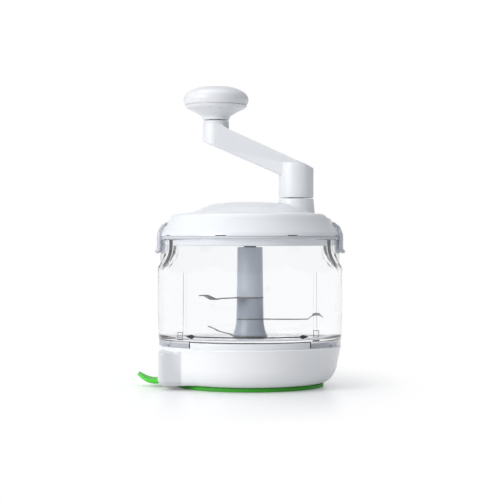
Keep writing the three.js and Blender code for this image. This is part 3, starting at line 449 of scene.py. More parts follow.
def skin_material(name, group, values):
    """A material whose colour, roughness and normal come from a shader group; also its shader."""
    material, tree, shader = plain_material(name)
    skin = tree.nodes.new("ShaderNodeGroup")
    skin.node_tree = group
    fed(tree, skin, {label.replace("_", " "): value for label, value in values.items()})
    fed(tree, shader, {
        "Base Color": skin.outputs["Colour"], "Roughness": skin.outputs["Roughness"],
        "Normal": skin.outputs["Normal"],
    })
    return material, shader


def moulded(name, colour, roughness, specular=0.5, **changes):
    """A plastic or rubber with the moulded skin; changes name the group's other inputs."""
    values = {"Colour": colour, "Roughness": roughness, **changes}
    material, shader = skin_material(name, moulded_skin_group, values)
    shader.inputs["Specular IOR Level"].default_value = specular
    return material


def coated(made, material):
    """Make one material a piece's only one."""
    made.data.materials.clear()
    made.data.materials.append(material)


def dressed(made, material, body, slot, *replaced):
    """Give a finished piece its material and its body, and hide the CAD nodes it stands for. The slot is not
    used.
    """
    coated(made, material)
    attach(made, body)
    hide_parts(*replaced)
    return made


def rounded_gap(distance, edge):
    """How far a rounded edge draws in at a distance from the edge's end."""
    if distance >= edge:
        return 0
    return edge - math.sqrt(edge ** 2 - (edge - distance) ** 2)


base_line = scaled_line(base_shares, 6, base_radius, base_bottom, base_height)


def tub_radius(height):
    """Radius of the round tub at a height."""
    for (low_radius, low), (high_radius, high) in zip(base_line, base_line[1:]):
        if height <= high:
            share = (height - low) / (high - low)
            return low_radius + share * (high_radius - low_radius)
    return base_radius


def housing_ray(angle, drawn_in):
    """Distance from the axis to the housing's wall in one direction."""
    across, sideways = -math.cos(angle), abs(math.sin(angle))
    if across <= 0:
        return 0
    reach, half = housing_reach - drawn_in, housing_half_width - drawn_in
    corner = housing_corner
    ray = Vector((across, sideways))
    flat = min(reach / across, half / sideways if sideways > 0 else reach / across)
    hit = ray * flat
    if hit.x > reach - corner and hit.y > half - corner:
        middle = Vector((reach - corner, half - corner))
        along = middle.dot(ray)
        return along + math.sqrt(max(along ** 2 - middle.length_squared + corner ** 2, 0))
    return flat


def blended(first, second, width):
    """The larger of two reaches, with a fillet where they are alike."""
    share = max(width - abs(first - second), 0) / width
    return max(first, second) + share * share * width / 4


def shell_reach(angle, height, housed=True):
    """Outer reach of the base shell at an angle and a height."""
    if not housed:
        return tub_radius(height)
    drawn_in = rounded_gap(max(housing_top - height, 0), housing_top_edge)
    drawn_in += rounded_gap(max(height - base_bottom, 0), housing_foot_edge)
    return blended(tub_radius(height), housing_ray(angle, drawn_in), housing_blend)


def shell_angles():
    """Directions round the base, closer together where the housing's corners are."""
    fine, coarse = math.radians(0.5), math.radians(2.5)
    first, last = math.radians(18), math.radians(58)
    angles, angle = [], -math.pi
    while angle < math.pi - fine / 2:
        angles.append(angle)
        from_left = math.pi - abs(angle)
        angle += fine if first <= from_left <= last else coarse
    return angles


def base_shell_piece():
    edge_steps, wall_steps, inner_steps = 6, 16, 6
    edge_shares = [1 - math.cos(math.pi / 2 * k / edge_steps) for k in range(edge_steps + 1)]
    outer_heights = [housing_top - share * housing_top_edge for share in edge_shares]
    wall_height = housing_top - base_bottom - housing_top_edge - housing_foot_edge
    outer_heights += [outer_heights[-1] - wall_height * k / wall_steps for k in range(1, wall_steps)]
    outer_heights += [base_bottom + share * housing_foot_edge for share in reversed(edge_shares)]

    def level(height, radius):
        return height, lambda angle: radius

    def outside(height, housed=True):
        return height, lambda angle: shell_reach(angle, height, housed)

    def inside(height):
        return height, lambda angle: shell_reach(angle, height) - base_wall

    flange_top = flange_bottom + flange_thickness
    ledge_bottom = deck_seat - ledge_thickness
    rise = (ledge_bottom - flange_top) / inner_steps
    rows = [
        level(base_top, base_radius - rim_round), level(base_top - rim_round, base_radius),
        outside(housing_top, False), *[outside(height) for height in outer_heights],
        inside(base_bottom), inside(flange_bottom), level(flange_bottom, flange_radius),
        level(flange_top, flange_radius), inside(flange_top),
        *[inside(flange_top + rise * k) for k in range(1, inner_steps + 1)],
        level(ledge_bottom, ledge_radius), level(deck_seat, ledge_radius), level(deck_seat, deck_room),
        level(base_top - rim_round, deck_room), level(base_top, deck_room + rim_round),
    ]
    angles = shell_angles()
    shell = skinned("base_shell_skin", [
        [on_circle(reach_at(angle), angle, height) for angle in angles] for height, reach_at in rows
    ], True)
    lever_room = box_piece(
        "lever_room", (-base_radius - base_wall, -lever_room_half, -base_wall),
        (-flange_radius / 2, lever_room_half, lever_room_top), lever_room_round,
    )
    return carve(shell, "DIFFERENCE", [lever_room])


base_plastic = moulded(
    "white_base_plastic", base_white, 0.24, specular=0.45, Mottle=0.01, Mottle_Size=0.05,
    Polish=0.03, Peel_Size=0.0012, Peel_Height=0.000006,
)
panel_left_inset = 2.6 * mm
panel_low_inset = 1.5 * mm
panel_high_inset = 3.2 * mm
panel_left = -base_radius + panel_left_inset
panel_right = -55.5 * mm
panel_low = base_bottom + panel_low_inset
panel_high = base_top - panel_high_inset
panel_soft = 0.9 * mm
panel_fade = 3.2 * mm
# Painted shade: the housing's flat faces are painted greyer, for the shade they fall into beside the round
# tub.
painted_panel_shade = (0.74, 0.75, 0.765, 1)


def paint_housing_shade(material):
    """Painted shade: a greyer field on the housing's two flat faces, where they fall into shade; it fades out
    on its right.
    """
    tree = material.node_tree
    place = new_node(tree, "ShaderNodeSeparateXYZ", {0: object_place(tree)})
    field = 1
    for axis, none, full in [
        ("X", panel_left - panel_soft, panel_left), ("X", panel_right + panel_fade, panel_right),
        ("Z", panel_low - panel_soft, panel_low), ("Z", panel_high + panel_soft, panel_high),
    ]:
        edge = ramp(tree, place.outputs[axis], none, full, smooth=True)
        field = reckoned(tree, "MULTIPLY", field, edge)
    base_colour = tree.nodes["Principled BSDF"].inputs["Base Color"]
    skin_colour = base_colour.links[0].from_socket
    tree.links.new(mixed_colour(tree, "MULTIPLY", field, skin_colour, painted_panel_shade), base_colour)


paint_housing_shade(base_plastic)
dressed(base_shell_piece(), base_plastic, "base", "white_plastic", "base_shell")

# Base deck. A glossy white disc with a skirt that drops into the shell; four lugs on its edge
# hold the bowl's bayonet teeth, and four bosses below take the screws.
deck_radius = 70.8 * mm
deck_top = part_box("base_deck")[1].z
deck_thickness = 2.4 * mm
deck_skirt = 2.8 * mm
deck_edge = 1.1 * mm
lug_reach = 1.4 * mm
lug_thickness = 1.8 * mm
lug_depth = 0.4 * mm
lug_angle = 14
lug_offset = 22
base_screw_circle = 50 * mm
base_boss_radius = 4 * mm
wide_steps = 160
middle_steps = 96
small_steps = 32
running_gap = 0.3 * mm
fine_fillet = 0.3 * mm
slight_fillet = 0.4 * mm
soft_fillet = 0.5 * mm
small_fillet = 0.6 * mm
rim_fillet = 0.8 * mm
skirt_fillet = 0.9 * mm
longest_trim_share = 0.49


def filleted(corners, steps=5):
    """Round the corners, each (radius, height, fillet), of a closed outline."""
    points = []
    for i, (radius, height, fillet) in enumerate(corners):
        here = Vector((radius, height))
        before = Vector(corners[i - 1][:2]) - here
        after = Vector(corners[(i + 1) % len(corners)][:2]) - here
        if fillet == 0:
            points.append(tuple(here))
            continue
        longest = longest_trim_share * min(before.length, after.length)
        trim = min(fillet / math.tan(before.angle(after) / 2), longest)
        before.normalize()
        after.normalize()
        start, end = here + before * trim, here + after * trim
        fillet_radius = trim * math.tan(before.angle(after) / 2)
        centre = here + (before + after).normalized() * math.hypot(trim, fillet_radius)
        for k in range(steps + 1):
            towards = start.lerp(end, k / steps) - centre
            points.append(tuple(centre + towards.normalized() * fillet_radius))
    return points


def turned_mesh(outline, steps):
    """Vertices and faces of a closed outline of (radius, height) turned about the upright axis."""
    verts, rings = [], []
    for radius, height in outline:
        if radius < weld_distance:
            rings.append([len(verts)] * steps)
            verts.append((0, 0, height))
            continue
        rings.append(list(range(len(verts), len(verts) + steps)))
        verts += [on_circle(radius, 2 * math.pi * k / steps, height) for k in range(steps)]
    return verts, between(rings, True)


def turned_piece(name, outline, steps=wide_steps, shift=(0, 0, 0)):
    made = made_piece(name, *turned_mesh(outline, steps))
    made.data.transform(Matrix.Translation(shift))
    return made


def rod(name, radius, low, high, place=(0, 0), steps=small_steps, fillet=0):
    """An upright round bar with rounded ends."""
    outline = filleted([(0, low, 0), (radius, low, fillet), (radius, high, fillet), (0, high, 0)])
    return turned_piece(name, outline, steps, (*place, 0))


def sector_piece(name, inner, outer, low, high, middle, width, steps=10):
    """A part of a ring, centred on one direction given in degrees."""
    angles = [math.radians(middle + width * (k / steps - 0.5)) for k in range(steps + 1)]
    corners = [(inner, low), (outer, low), (outer, high), (inner, high)]
    return skinned(name, [
        [on_circle(radius, angle, height) for radius, height in corners] for angle in angles
    ])


def around(radius, degrees):
    """The place on a circle in one direction."""
    return on_circle(radius, math.radians(degrees), 0)[:2]


lug_angles = [lug_offset, -lug_offset, 180 - lug_offset, 180 + lug_offset]
base_screw_angles = [45, 135, 225, 315]


def base_deck_piece():
    inner = deck_radius - deck_skirt
    under = deck_top - deck_thickness
    deck = turned_piece("base_deck_skin", filleted([
        (0, under, 0), (inner, under, small_fillet), (inner, deck_seat, fine_fillet),
        (deck_radius, deck_seat, fine_fillet), (deck_radius, deck_top, deck_edge), (0, deck_top, 0),
    ]))
    lug_top = deck_top - lug_depth
    lug_section = (deck_radius - overshoot, deck_radius + lug_reach, lug_top - lug_thickness, lug_top)
    lugs = [sector_piece("lug", *lug_section, angle, lug_angle) for angle in lug_angles]
    screw_boss_top = under + deck_thickness / 2
    bosses = [
        rod("boss", base_boss_radius, flange_bottom, screw_boss_top, around(base_screw_circle, angle))
        for angle in base_screw_angles
    ]
    return carve(deck, "UNION", lugs + bosses)


deck_plastic = moulded(
    "white_deck_plastic", (0.86, 0.87, 0.89, 1), 0.2, Mottle=0.015, Polish=0.06, Peel_Height=0.000005,
)
dressed(base_deck_piece(), deck_plastic, "base", "white_plastic", "base_deck")

# Under plate and screws. A satin white plate closes the base from below; four pan head steel
# screws go through it and the shell's flange into the deck's bosses.
plate_white = moulded(
    "satin_white_plastic", (0.8, 0.81, 0.83, 1), 0.5, Mottle=0.04, Peel_Size=0.0006, Peel_Height=0.00002,
)
coated(nodes["base_under_plate"], plate_white)
screw_head_radius = 2.9 * mm
screw_head_height = 1.8 * mm
screw_head_shares = (0.72, 0.35)
screw_shank_radius = 1.3 * mm
screw_slot_width = 0.7 * mm
screw_slot_depth = 1.1 * mm
screw_slot_length = 3.6 * mm
screw_count = 4
thread_count = 12
thread_root_share = 0.8
thread_places = (0.1, 0.5)
base_screw_length = 15 * mm
base_screw_turn = 45
patch_scale = 120


def worn_metal():
    """Shader group: drawn lines, duller patches and a slight change of tone over bright metal."""
    tree, entry, leave = skin_group("worn_metal", {
        "Tone": 0.12, "Roughness": 0.25, "Dullness": 0.15, "Line Size": 0.0006, "Line Height": 0.00001,
        "Stretch": (1.0, 1.0, 1.0),
    })
    place = object_place(tree)
    lines = scaled_noise(tree, stretched(tree, place, entry["Stretch"]), entry["Line Size"], 4)
    patches = new_node(tree, "ShaderNodeTexNoise", {"Vector": place, "Scale": patch_scale}).outputs["Fac"]
    value = reckoned(tree, "SUBTRACT", 1, reckoned(tree, "MULTIPLY", lines, entry["Tone"]))
    return skin_result(tree, entry, leave, value, patches, entry["Dullness"], lines, entry["Line Height"])


worn_metal_group = worn_metal()


def metal(name, colour, roughness, stretch=(1, 1, 1), **changes):
    """A bare or plated metal with drawn lines; changes name the group's other inputs."""
    values = {"Colour": colour, "Roughness": roughness, "Stretch": stretch, **changes}
    material, shader = skin_material(name, worn_metal_group, values)
    shader.inputs["Metallic"].default_value = 1
    return material


def screw_ring_tree():
    """Geometry node tree: copies of one screw on a circle."""
    tree = bpy.data.node_groups.new("screw_ring", "GeometryNodeTree")
    for label, side, kind in [
        ("Screw", "INPUT", "NodeSocketGeometry"), ("Count", "INPUT", "NodeSocketInt"),
        ("Circle Radius", "INPUT", "NodeSocketFloat"), ("Material", "INPUT", "NodeSocketMaterial"),
        ("Screws", "OUTPUT", "NodeSocketGeometry"),
    ]:
        tree.interface.new_socket(name=label, in_out=side, socket_type=kind)
    entry = tree.nodes.new("NodeGroupInput").outputs
    circle = new_node(tree, "GeometryNodeMeshCircle", {
        "Vertices": entry["Count"], "Radius": entry["Circle Radius"],
    })
    copies = new_node(tree, "GeometryNodeInstanceOnPoints", {
        "Points": circle.outputs["Mesh"], "Instance": entry["Screw"],
    })
    real = new_node(tree, "GeometryNodeRealizeInstances", {"Geometry": copies.outputs["Instances"]})
    coat = new_node(tree, "GeometryNodeSetMaterial", {
        "Geometry": real.outputs["Geometry"], "Material": entry["Material"],
    })
    new_node(tree, "NodeGroupOutput", {"Screws": coat.outputs["Geometry"]})
    return tree


screw_ring = screw_ring_tree()


def set_input(modifier, label, value):
    """Set a geometry node modifier's input by the identifier of its socket."""
    for socket in modifier.node_group.interface.items_tree:
        if socket.name == label and socket.in_out == "INPUT":
            modifier[socket.identifier] = value


def one_screw(name, length):
    """A pan head screw standing on its head, with a cross recess and a pointed thread."""
    crown, brow = screw_head_shares
    head = filleted([
        (0, -screw_head_height, 0), (screw_head_radius * crown, -screw_head_height, rim_fillet),
        (screw_head_radius, -screw_head_height * brow, fine_fillet), (screw_head_radius, 0, 0),
        (screw_shank_radius, 0, 0),
    ])
    root_radius = screw_shank_radius * thread_root_share
    root_place, crest_place = thread_places
    thread_end = length - 2 * screw_shank_radius
    pitch = thread_end / thread_count
    shank = []
    for k in range(thread_count):
        shank += [(root_radius, pitch * (k + root_place)), (screw_shank_radius, pitch * (k + crest_place))]
    made = turned_piece(name, head + shank + [(root_radius, thread_end), (0, length)], 24)
    half, wide = screw_slot_length / 2, screw_slot_width / 2
    low, high = -screw_head_height - overshoot, -screw_head_height + screw_slot_depth
    slots = [box_piece("slot", (-x, -y, low), (x, y, high)) for x, y in [(half, wide), (wide, half)]]
    return carve(made, "DIFFERENCE", slots)


def ring_of_screws(name, length, seat, circle, turn, body, replaced):
    """Four screws on a circle as one piece, made by the geometry nodes; the turn is in degrees."""
    made = one_screw(name, length)
    step = made.modifiers.new("screw_ring", "NODES")
    step.node_group = screw_ring
    set_input(step, "Count", screw_count)
    set_input(step, "Circle Radius", circle)
    set_input(step, "Material", screw_steel)
    apply_modifiers(made)
    turned = Matrix.Rotation(math.radians(turn), 4, "Z")
    made.data.transform(Matrix.Translation((0, 0, seat)) @ turned)
    shade(made)
    return dressed(made, screw_steel, body, "plated_steel", *replaced)


screw_steel = metal("plated_screw_steel", (0.62, 0.63, 0.65, 1), 0.28, Tone=0.1)
ring_of_screws(
    "base_screws_threaded", base_screw_length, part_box("base_under_plate")[0].z, base_screw_circle,
    base_screw_turn, "base", [f"base_screw_{k}" for k in range(1, screw_count + 1)],
)

# Suction cup and post. A disc of green rubber that sticks the processor to the table; the
# lever pulls a grey post whose foot is held in the cup's stem.
cup_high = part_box("suction_cup")[1]
cup_radius = cup_high.x
cup_thickness = 3 * mm
cup_stem_radius = 10 * mm
cup_bore_radius = 6.5 * mm
cup_floor = 4.3 * mm
cup_root_fillet = 1.5 * mm
cup_green = (0.05, 0.4, 0.025, 1)
cup = turned_piece("suction_cup_rubber", filleted([
    (0, 0, 0), (cup_radius, 0, soft_fillet), (cup_radius, cup_thickness, skirt_fillet),
    (cup_stem_radius, cup_thickness, cup_root_fillet), (cup_stem_radius, cup_high.z, small_fillet),
    (cup_bore_radius, cup_high.z, slight_fillet), (cup_bore_radius, cup_floor, slight_fillet),
    (0, cup_floor, 0),
]))
rubber = moulded(
    "green_rubber", cup_green, 0.42, specular=0.35, Mottle=0.08, Mottle_Size=0.02, Polish=0.15,
    Peel_Size=0.0005, Peel_Height=0.00002,
)
dressed(cup, rubber, "base", "green_rubber", "suction_cup")
post_plastic = moulded("grey_post_plastic", (0.12, 0.125, 0.13, 1), 0.45, Mottle=0.1, Peel_Height=0.00002)
coated(nodes["suction_post"], post_plastic)

# Suction lever. A satin green moulding: a bent plate that ends outside in a thumb paddle with
# a dished top, and inside in a fork with two eyes on a steel pin.
lever_low, lever_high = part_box("suction_lever")
pin_low, pin_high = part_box("lever_pin")
lever_reach = -lever_low.x
lever_pivot = (pin_low + pin_high) / 2
lever_half_width = lever_high.y
lever_thickness = 3.8 * mm
paddle_tip_share = 0.62
paddle_tip_gap = 0.2 * mm
paddle_dish = 0.9 * mm
paddle_corner = 11 * mm
lever_shares = [
    (0.24, 0.958), (0.437, 0.842), (0.611, 0.705), (0.699, 0.542), (0.759, 0.337), (0.808, 0.237),
    (0.862, 0.237), (0.917, 0.321), (0.961, 0.453), (0.984, 0.563),
]
prong_inner = 4.2 * mm
prong_outer = 7.2 * mm
prong_radius = 3 * mm
prong_thickness = 2.2 * mm
eye_radius = 3.2 * mm
paddle_green = (0.1, 0.7, 0.06, 1)


def side_prism(name, outline, half):
    """A block with an outline drawn in X and Z, to both sides of Y zero."""
    return skinned(name, [[(x, y, z) for x, z in outline] for y in (-half, half)])


def cross_bar(name, radius, half, x, y, z, steps=24):
    """A round bar lying along Y."""
    made = rod(name, radius, -half, half, steps=steps, fillet=radius / 8)
    made.data.transform(Matrix.Translation((x, y, z)) @ Matrix.Rotation(math.pi / 2, 4, "X"))
    return made


def paddle_piece():
    line = scaled_line(lever_shares, 8, -lever_reach, 0, lever_pivot.z)
    tip_x = line[-1][0] - paddle_tip_gap
    steps = 16
    loops = []
    for (x, z), direction in zip(line, directions(line)):
        half = lever_half_width - rounded_gap(x - tip_x, paddle_corner)
        outside = min(max((-x - base_radius) / (lever_reach - base_radius), 0), 1)
        edge = lever_thickness / 2 * (1 - outside * (1 - paddle_tip_share))
        normal = Vector((-direction.y, direction.x))
        if normal.y < 0:
            normal = -normal
        loop = []
        for face, numbers in [(1, range(steps + 1)), (-1, range(steps - 1, 0, -1))]:
            for k in numbers:
                share = 2 * k / steps - 1
                across = math.sin(share * math.pi / 2)
                past_flat = max(abs(across) * half - half + edge, 0)
                rise = face * edge * math.sqrt(max(1 - past_flat ** 2 / edge ** 2, 0))
                if face > 0:
                    rise -= paddle_dish * outside * (1 - share ** 2)
                loop.append((x + normal.x * rise, half * across, z + normal.y * rise))
        loops.append(loop)
    return skinned("suction_lever_green", loops)


def lever_piece():
    paddle = paddle_piece()
    start_x = -lever_shares[0][0] * lever_reach
    start_z = lever_shares[0][1] * lever_pivot.z
    fork = [(start_x - prong_thickness, start_z), (lever_pivot.x, lever_pivot.z), (0, lever_pivot.z)]
    prong_half = prong_thickness / 2
    extras = []
    for side in (-1, 1):
        near, far = side * prong_inner, side * prong_outer
        middle, half = (near + far) / 2, abs(far - near) / 2
        corners = [(near, -prong_half), (far, -prong_half), (far, prong_half), (near, prong_half)]
        extras.append(skinned("prong", [[(x, y, z + rise) for y, rise in corners] for x, z in fork]))
        extras.append(cross_bar("nose", prong_radius, half, 0, middle, lever_pivot.z))
        extras.append(cross_bar("eye", eye_radius, half, lever_pivot.x, middle, lever_pivot.z))
    lever = carve(paddle, "UNION", extras)
    bore_radius = (pin_high.x - pin_low.x) / 2 + running_gap
    bore = cross_bar("bore", bore_radius, lever_half_width, lever_pivot.x, 0, lever_pivot.z)
    return carve(lever, "DIFFERENCE", [bore])


lever_plastic = moulded(
    "green_lever_plastic", paddle_green, 0.42, specular=0.3, Mottle=0.05, Polish=0.1,
    Peel_Size=0.0007, Peel_Height=0.000012,
)
dressed(lever_piece(), lever_plastic, "lever", "green_plastic", "suction_lever")
pin_steel = metal("drawn_pin_steel", (0.6, 0.61, 0.63, 1), 0.22, stretch=(1, 0.05, 1))
for hidden in ("lever_pin", "latch_pin_left", "latch_pin_right"):
    coated(nodes[hidden], pin_steel)

# Bowl. Clear styrene acrylonitrile, one moulding: a round wall with four upright ribs inside,
# a sunken U on each side for the latches, and a foot with bayonet teeth below its floor.
bowl_low, bowl_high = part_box("bowl")
bowl_radius = bowl_high.x
bowl_top = bowl_high.z
bowl_bottom = deck_top + running_gap
bowl_foot_radius = 73.9 * mm
bowl_wall = 2.8 * mm
bowl_floor = 2.1 * mm
bowl_full_rise = 22 * mm
bowl_corner = 2.4 * mm
bowl_foot_fillet = 1.2 * mm
bowl_flare_fillet = 40 * mm
bowl_steps = 192
bowl_sharp_angle = math.radians(14)
even_weight = 100
foot_drop = bowl_bottom - bowl_low.z
foot_wall = 1.4 * mm
foot_inset = 0.2 * mm
foot_angle = 100
tooth_angle = 12
tooth_thickness = 1.6 * mm
rib_reach = 0.25 * mm
rib_slope = 0.7
rib_run_out = 2.4 * mm
rib_angle = 9.6
rib_offset = 47.5
rib_top = 94 * mm
recess_radius = 72.6 * mm
recess_wall = 2.6 * mm
recess_half_width = 34 * mm
recess_depth = 23.6 * mm
recess_straight = 5.6 * mm
recess_border = 2.4 * mm
pad_drop = 0.4 * mm
pin_boss_radius = 5.5 * mm
pin_boss_rise = 5.6 * mm
pin_room = 0.1 * mm
inner_radius = bowl_radius - bowl_wall
mid_wall_radius = bowl_radius - bowl_wall / 2
floor_top = bowl_bottom + bowl_floor
floor_middle = floor_top - bowl_floor / 2
bowl_tint = (0.972, 0.98, 0.986, 1)
# Painted shade: the clear foot below the bowl's floor is painted darker grey, for the shade it sits in down
# in the base.
foot_shade_grey = (0.52, 0.53, 0.57, 1)
foot_shade_run = 1.2 * mm
pivot_low, pivot_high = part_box("blade_pivot_pin")


def ring_block(name, corners):
    """A square edged ring between two radii and two heights, given as (inner, outer, low, high)."""
    inner, outer, low, high = corners
    return turned_piece(name, [(inner, low), (outer, low), (outer, high), (inner, high)], bowl_steps)


def recess_prism(name, side, border, low_radius, high_radius):
    """A U shaped block on one side, between two distances from the axis."""
    turn_steps = 32
    half = recess_half_width + border
    arc_top = bowl_top - recess_straight
    arc_drop = arc_top - (bowl_top - recess_depth - border)
    arc = [math.pi * (1 + k / turn_steps) for k in range(turn_steps + 1)]
    outline = [
        (-half, bowl_top + overshoot),
        *[(half * math.cos(angle), arc_top + arc_drop * math.sin(angle)) for angle in arc],
        (half, bowl_top + overshoot),
    ]
    return skinned(name, [[(side * x, y, z) for y, z in outline] for x in (low_radius, high_radius)])


def rib_piece(middle):
    """A low upright rib on the wall's inside, curved like the wall, with its sides run out softly."""
    steps = 12
    half = rib_angle / 2
    turns = [half - 2 * half * k / steps for k in range(steps + 1)]
    loops = []
    for height, share in [(floor_middle, 1), (rib_top - rib_run_out, 1), (rib_top, 0)]:
        near = inner_radius - rib_reach * share
        places = [(mid_wall_radius, -half - rib_slope), (mid_wall_radius, half + rib_slope)]
        places += [(near, turn) for turn in turns]
        loops.append([on_circle(radius, math.radians(middle + turn), height) for radius, turn in places])
    return skinned("rib", loops)


def bowl_piece():
    wall = turned_piece("bowl_clear", filleted([
        (0, bowl_bottom, 0), (bowl_foot_radius, bowl_bottom, bowl_foot_fillet),
        (bowl_radius, bowl_bottom + bowl_full_rise, bowl_flare_fillet), (bowl_radius, bowl_top, rim_fillet),
        (inner_radius, bowl_top, rim_fillet), (inner_radius, floor_top, bowl_corner), (0, floor_top, 0),
    ], 8), bowl_steps)
    extras = [rib_piece(turn - 90) for turn in (rib_offset, 180 - rib_offset, 180 + rib_offset, -rib_offset)]
    pad_low = bowl_top - recess_depth - 2 * recess_border
    pad_section = (recess_radius - recess_wall, mid_wall_radius, pad_low, bowl_top - pad_drop)
    for side in (-1, 1):
        pad = ring_block("pad", pad_section)
        prism = recess_prism("pad_prism", side, recess_border, inner_radius / 2, bowl_radius + overshoot)
        extras.append(carve(pad, "INTERSECT", [prism]))
    foot_bottom = bowl_bottom - foot_drop
    foot_section = (bowl_foot_radius - foot_wall, bowl_foot_radius - foot_inset, foot_bottom,
                    bowl_bottom + bowl_floor / 2)
    extras += [sector_piece("foot", *foot_section, middle, foot_angle, 36) for middle in (0, 180)]
    tooth_section = (deck_radius + running_gap, bowl_foot_radius - foot_wall / 2, foot_bottom,
                     foot_bottom + tooth_thickness)
    extras += [sector_piece("tooth", *tooth_section, angle, tooth_angle) for angle in lug_angles]
    boss_end = floor_top + pin_boss_rise
    extras.append(rod("pin_boss", pin_boss_radius, floor_middle, boss_end, fillet=soft_fillet))
    bowl = carve(wall, "UNION", extras)
    recess_section = (recess_radius, bowl_radius + overshoot, bowl_top - recess_depth - overshoot,
                      bowl_top + overshoot)
    cutters = []
    for side in (-1, 1):
        ring = ring_block("recess", recess_section)
        prism = recess_prism("recess_prism", side, 0, inner_radius / 2, bowl_radius + 2 * overshoot)
        cutters.append(carve(ring, "INTERSECT", [prism]))
    cutters.append(rod("pin_hole", pivot_high.x + pin_room, pivot_low.z, boss_end + overshoot))
    return carve(bowl, "DIFFERENCE", cutters)


rub_scale = 60
rub_detail = 6
rub_start, rub_full = 0.45, 0.8
rub_dulling = 0.05
rub_depth = 0.004 * mm


def clear_plastic(name, tint, roughness, ior, shade_through, clearness=1):
    """A clear moulding that lets lamp light through, with faint rub marks in its gloss."""
    material, tree, shader = plain_material(name)
    shader.inputs["Base Color"].default_value = tint
    shader.inputs["Transmission Weight"].default_value = clearness
    shader.inputs["IOR"].default_value = ior
    rubs = new_node(tree, "ShaderNodeTexNoise", {
        "Vector": object_place(tree), "Scale": rub_scale, "Detail": rub_detail,
    }).outputs["Fac"]
    bump = new_node(tree, "ShaderNodeBump", {"Distance": rub_depth, "Height": rubs})
    fed(tree, shader, {
        "Roughness": ramp(tree, rubs, rub_start, rub_full, roughness, roughness + rub_dulling),
        "Normal": bump.outputs["Normal"],
    })
    through = new_node(tree, "ShaderNodeBsdfTransparent", {"Color": shade_through})
    light_or_fill = any_ray(tree, "Is Shadow Ray", "Is Diffuse Ray")
    chosen = mixed_shader(tree, light_or_fill, shader.outputs[0], through.outputs[0])
    fed(tree, tree.nodes["Material Output"], {"Surface": chosen})
    return material


bowl_plastic = clear_plastic("clear_bowl_plastic", bowl_tint, 0.0, 1.5, (0.985, 0.99, 0.995, 1))
bowl_tree = bowl_plastic.node_tree
# Painted shade: below the floor the bowl's colour turns to the darker foot grey.
bowl_place = new_node(bowl_tree, "ShaderNodeSeparateXYZ", {0: object_place(bowl_tree)})
clear_of_foot_shade = ramp(bowl_tree, bowl_place.outputs["Z"], bowl_bottom - foot_shade_run, bowl_bottom)
fed(bowl_tree, bowl_tree.nodes["Principled BSDF"], {
    "Base Color": mixed_colour(bowl_tree, "MIX", clear_of_foot_shade, foot_shade_grey, bowl_tint),
})
clear_bowl = bowl_piece()
clear_bowl.data.set_sharp_from_angle(angle=bowl_sharp_angle)
even_normals = clear_bowl.modifiers.new("even_normals", "WEIGHTED_NORMAL")
even_normals.keep_sharp = True
even_normals.weight = even_weight
apply_modifiers(clear_bowl)
dressed(clear_bowl, bowl_plastic, "bowl", "clear_plastic", "bowl")

# Printed marks. Dark grey ink on the bowl's outer wall: a curved double arrow for the turn
# that locks the bowl, with a small outlined box over a bar at each end.
ink_lift = 0.02 * mm
ink_thickness = 0.05 * mm
arrow_left = -50.2 * mm
arrow_right = 45.6 * mm
arrow_height = 43.1 * mm
arrow_line_half = 0.45 * mm
arrow_head_length = 5.2 * mm
arrow_head_half = 1.9 * mm
arrow_tip_half = 0.02 * mm
arrow_steps = 40
ink_grey = (0.035, 0.036, 0.04, 1)
mark_line = 0.42 * mm
# Each mark: the box's middle, foot, width and height, and the foot of the bar.
mark_places = {
    "open_mark_print": (-54.5 * mm, 41.6 * mm, 4.1 * mm, 4.6 * mm, 40 * mm),
    "locked_mark_print": (51.5 * mm, 42.3 * mm, 4.6 * mm, 5.5 * mm, 39.4 * mm),
}


def on_wall(x, height, lift):
    """The place on the front of the bowl's flaring wall at a sideways distance and a height."""
    share = min(max((height - bowl_bottom) / bowl_full_rise, 0), 1)
    radius = bowl_foot_radius + share * (bowl_radius - bowl_foot_radius) + lift
    return x, -math.sqrt(radius ** 2 - x ** 2), height


def ink_band(name, line, low_offsets, high_offsets):
    """Flat ink that runs along a line on the wall between two offsets at each point."""
    near, far = ink_lift, ink_lift + ink_thickness
    loops = []
    for (x, z), low, high in zip(line, low_offsets, high_offsets):
        corners = [(low, near), (high, near), (high, far), (low, far)]
        loops.append([on_wall(x, z + rise, lift) for rise, lift in corners])
    return skinned(name, loops)


def ink_box(name, left, right, low, high):
    """A small inked rectangle on the wall."""
    return ink_band(name, [(left, 0), (right, 0)], [low, low], [high, high])


ink = moulded("grey_ink", ink_grey, 0.4, specular=0.3, Mottle=0.2, Mottle_Size=0.002, Peel_Size=0.0003)
arrow_length = arrow_right - arrow_left
arrow_line = [(arrow_left + arrow_length * k / arrow_steps, arrow_height) for k in range(arrow_steps + 1)]
arrow_half = []
for x, height in arrow_line:
    to_end = min(x - arrow_left, arrow_right - x)
    head_half = max(to_end / arrow_head_length * arrow_head_half, arrow_tip_half)
    arrow_half.append(head_half if to_end < arrow_head_length else arrow_line_half)
arrow = ink_band("turn_arrow_print", arrow_line, [-half for half in arrow_half], arrow_half)
coated(arrow, ink)
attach(arrow, "bowl")


def mark_print(name, middle, low, wide, high, bar_low):
    """An outlined box over a short bar."""
    left, right = middle - wide / 2, middle + wide / 2
    top = low + high
    parts = [
        ink_box("bar", left - mark_line, right + mark_line, bar_low, bar_low + 2 * mark_line),
        ink_box("left", left, left + mark_line, low, top),
        ink_box("right", right - mark_line, right, low, top),
        ink_box("bottom", left, right, low, low + mark_line),
        ink_box("top", left, right, top - mark_line, top),
    ]
    whole = carve(parts[0], "UNION", parts[1:])
    whole.name = name
    coated(whole, ink)
    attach(whole, "bowl")


for mark, place in mark_places.items():
    mark_print(mark, *place)

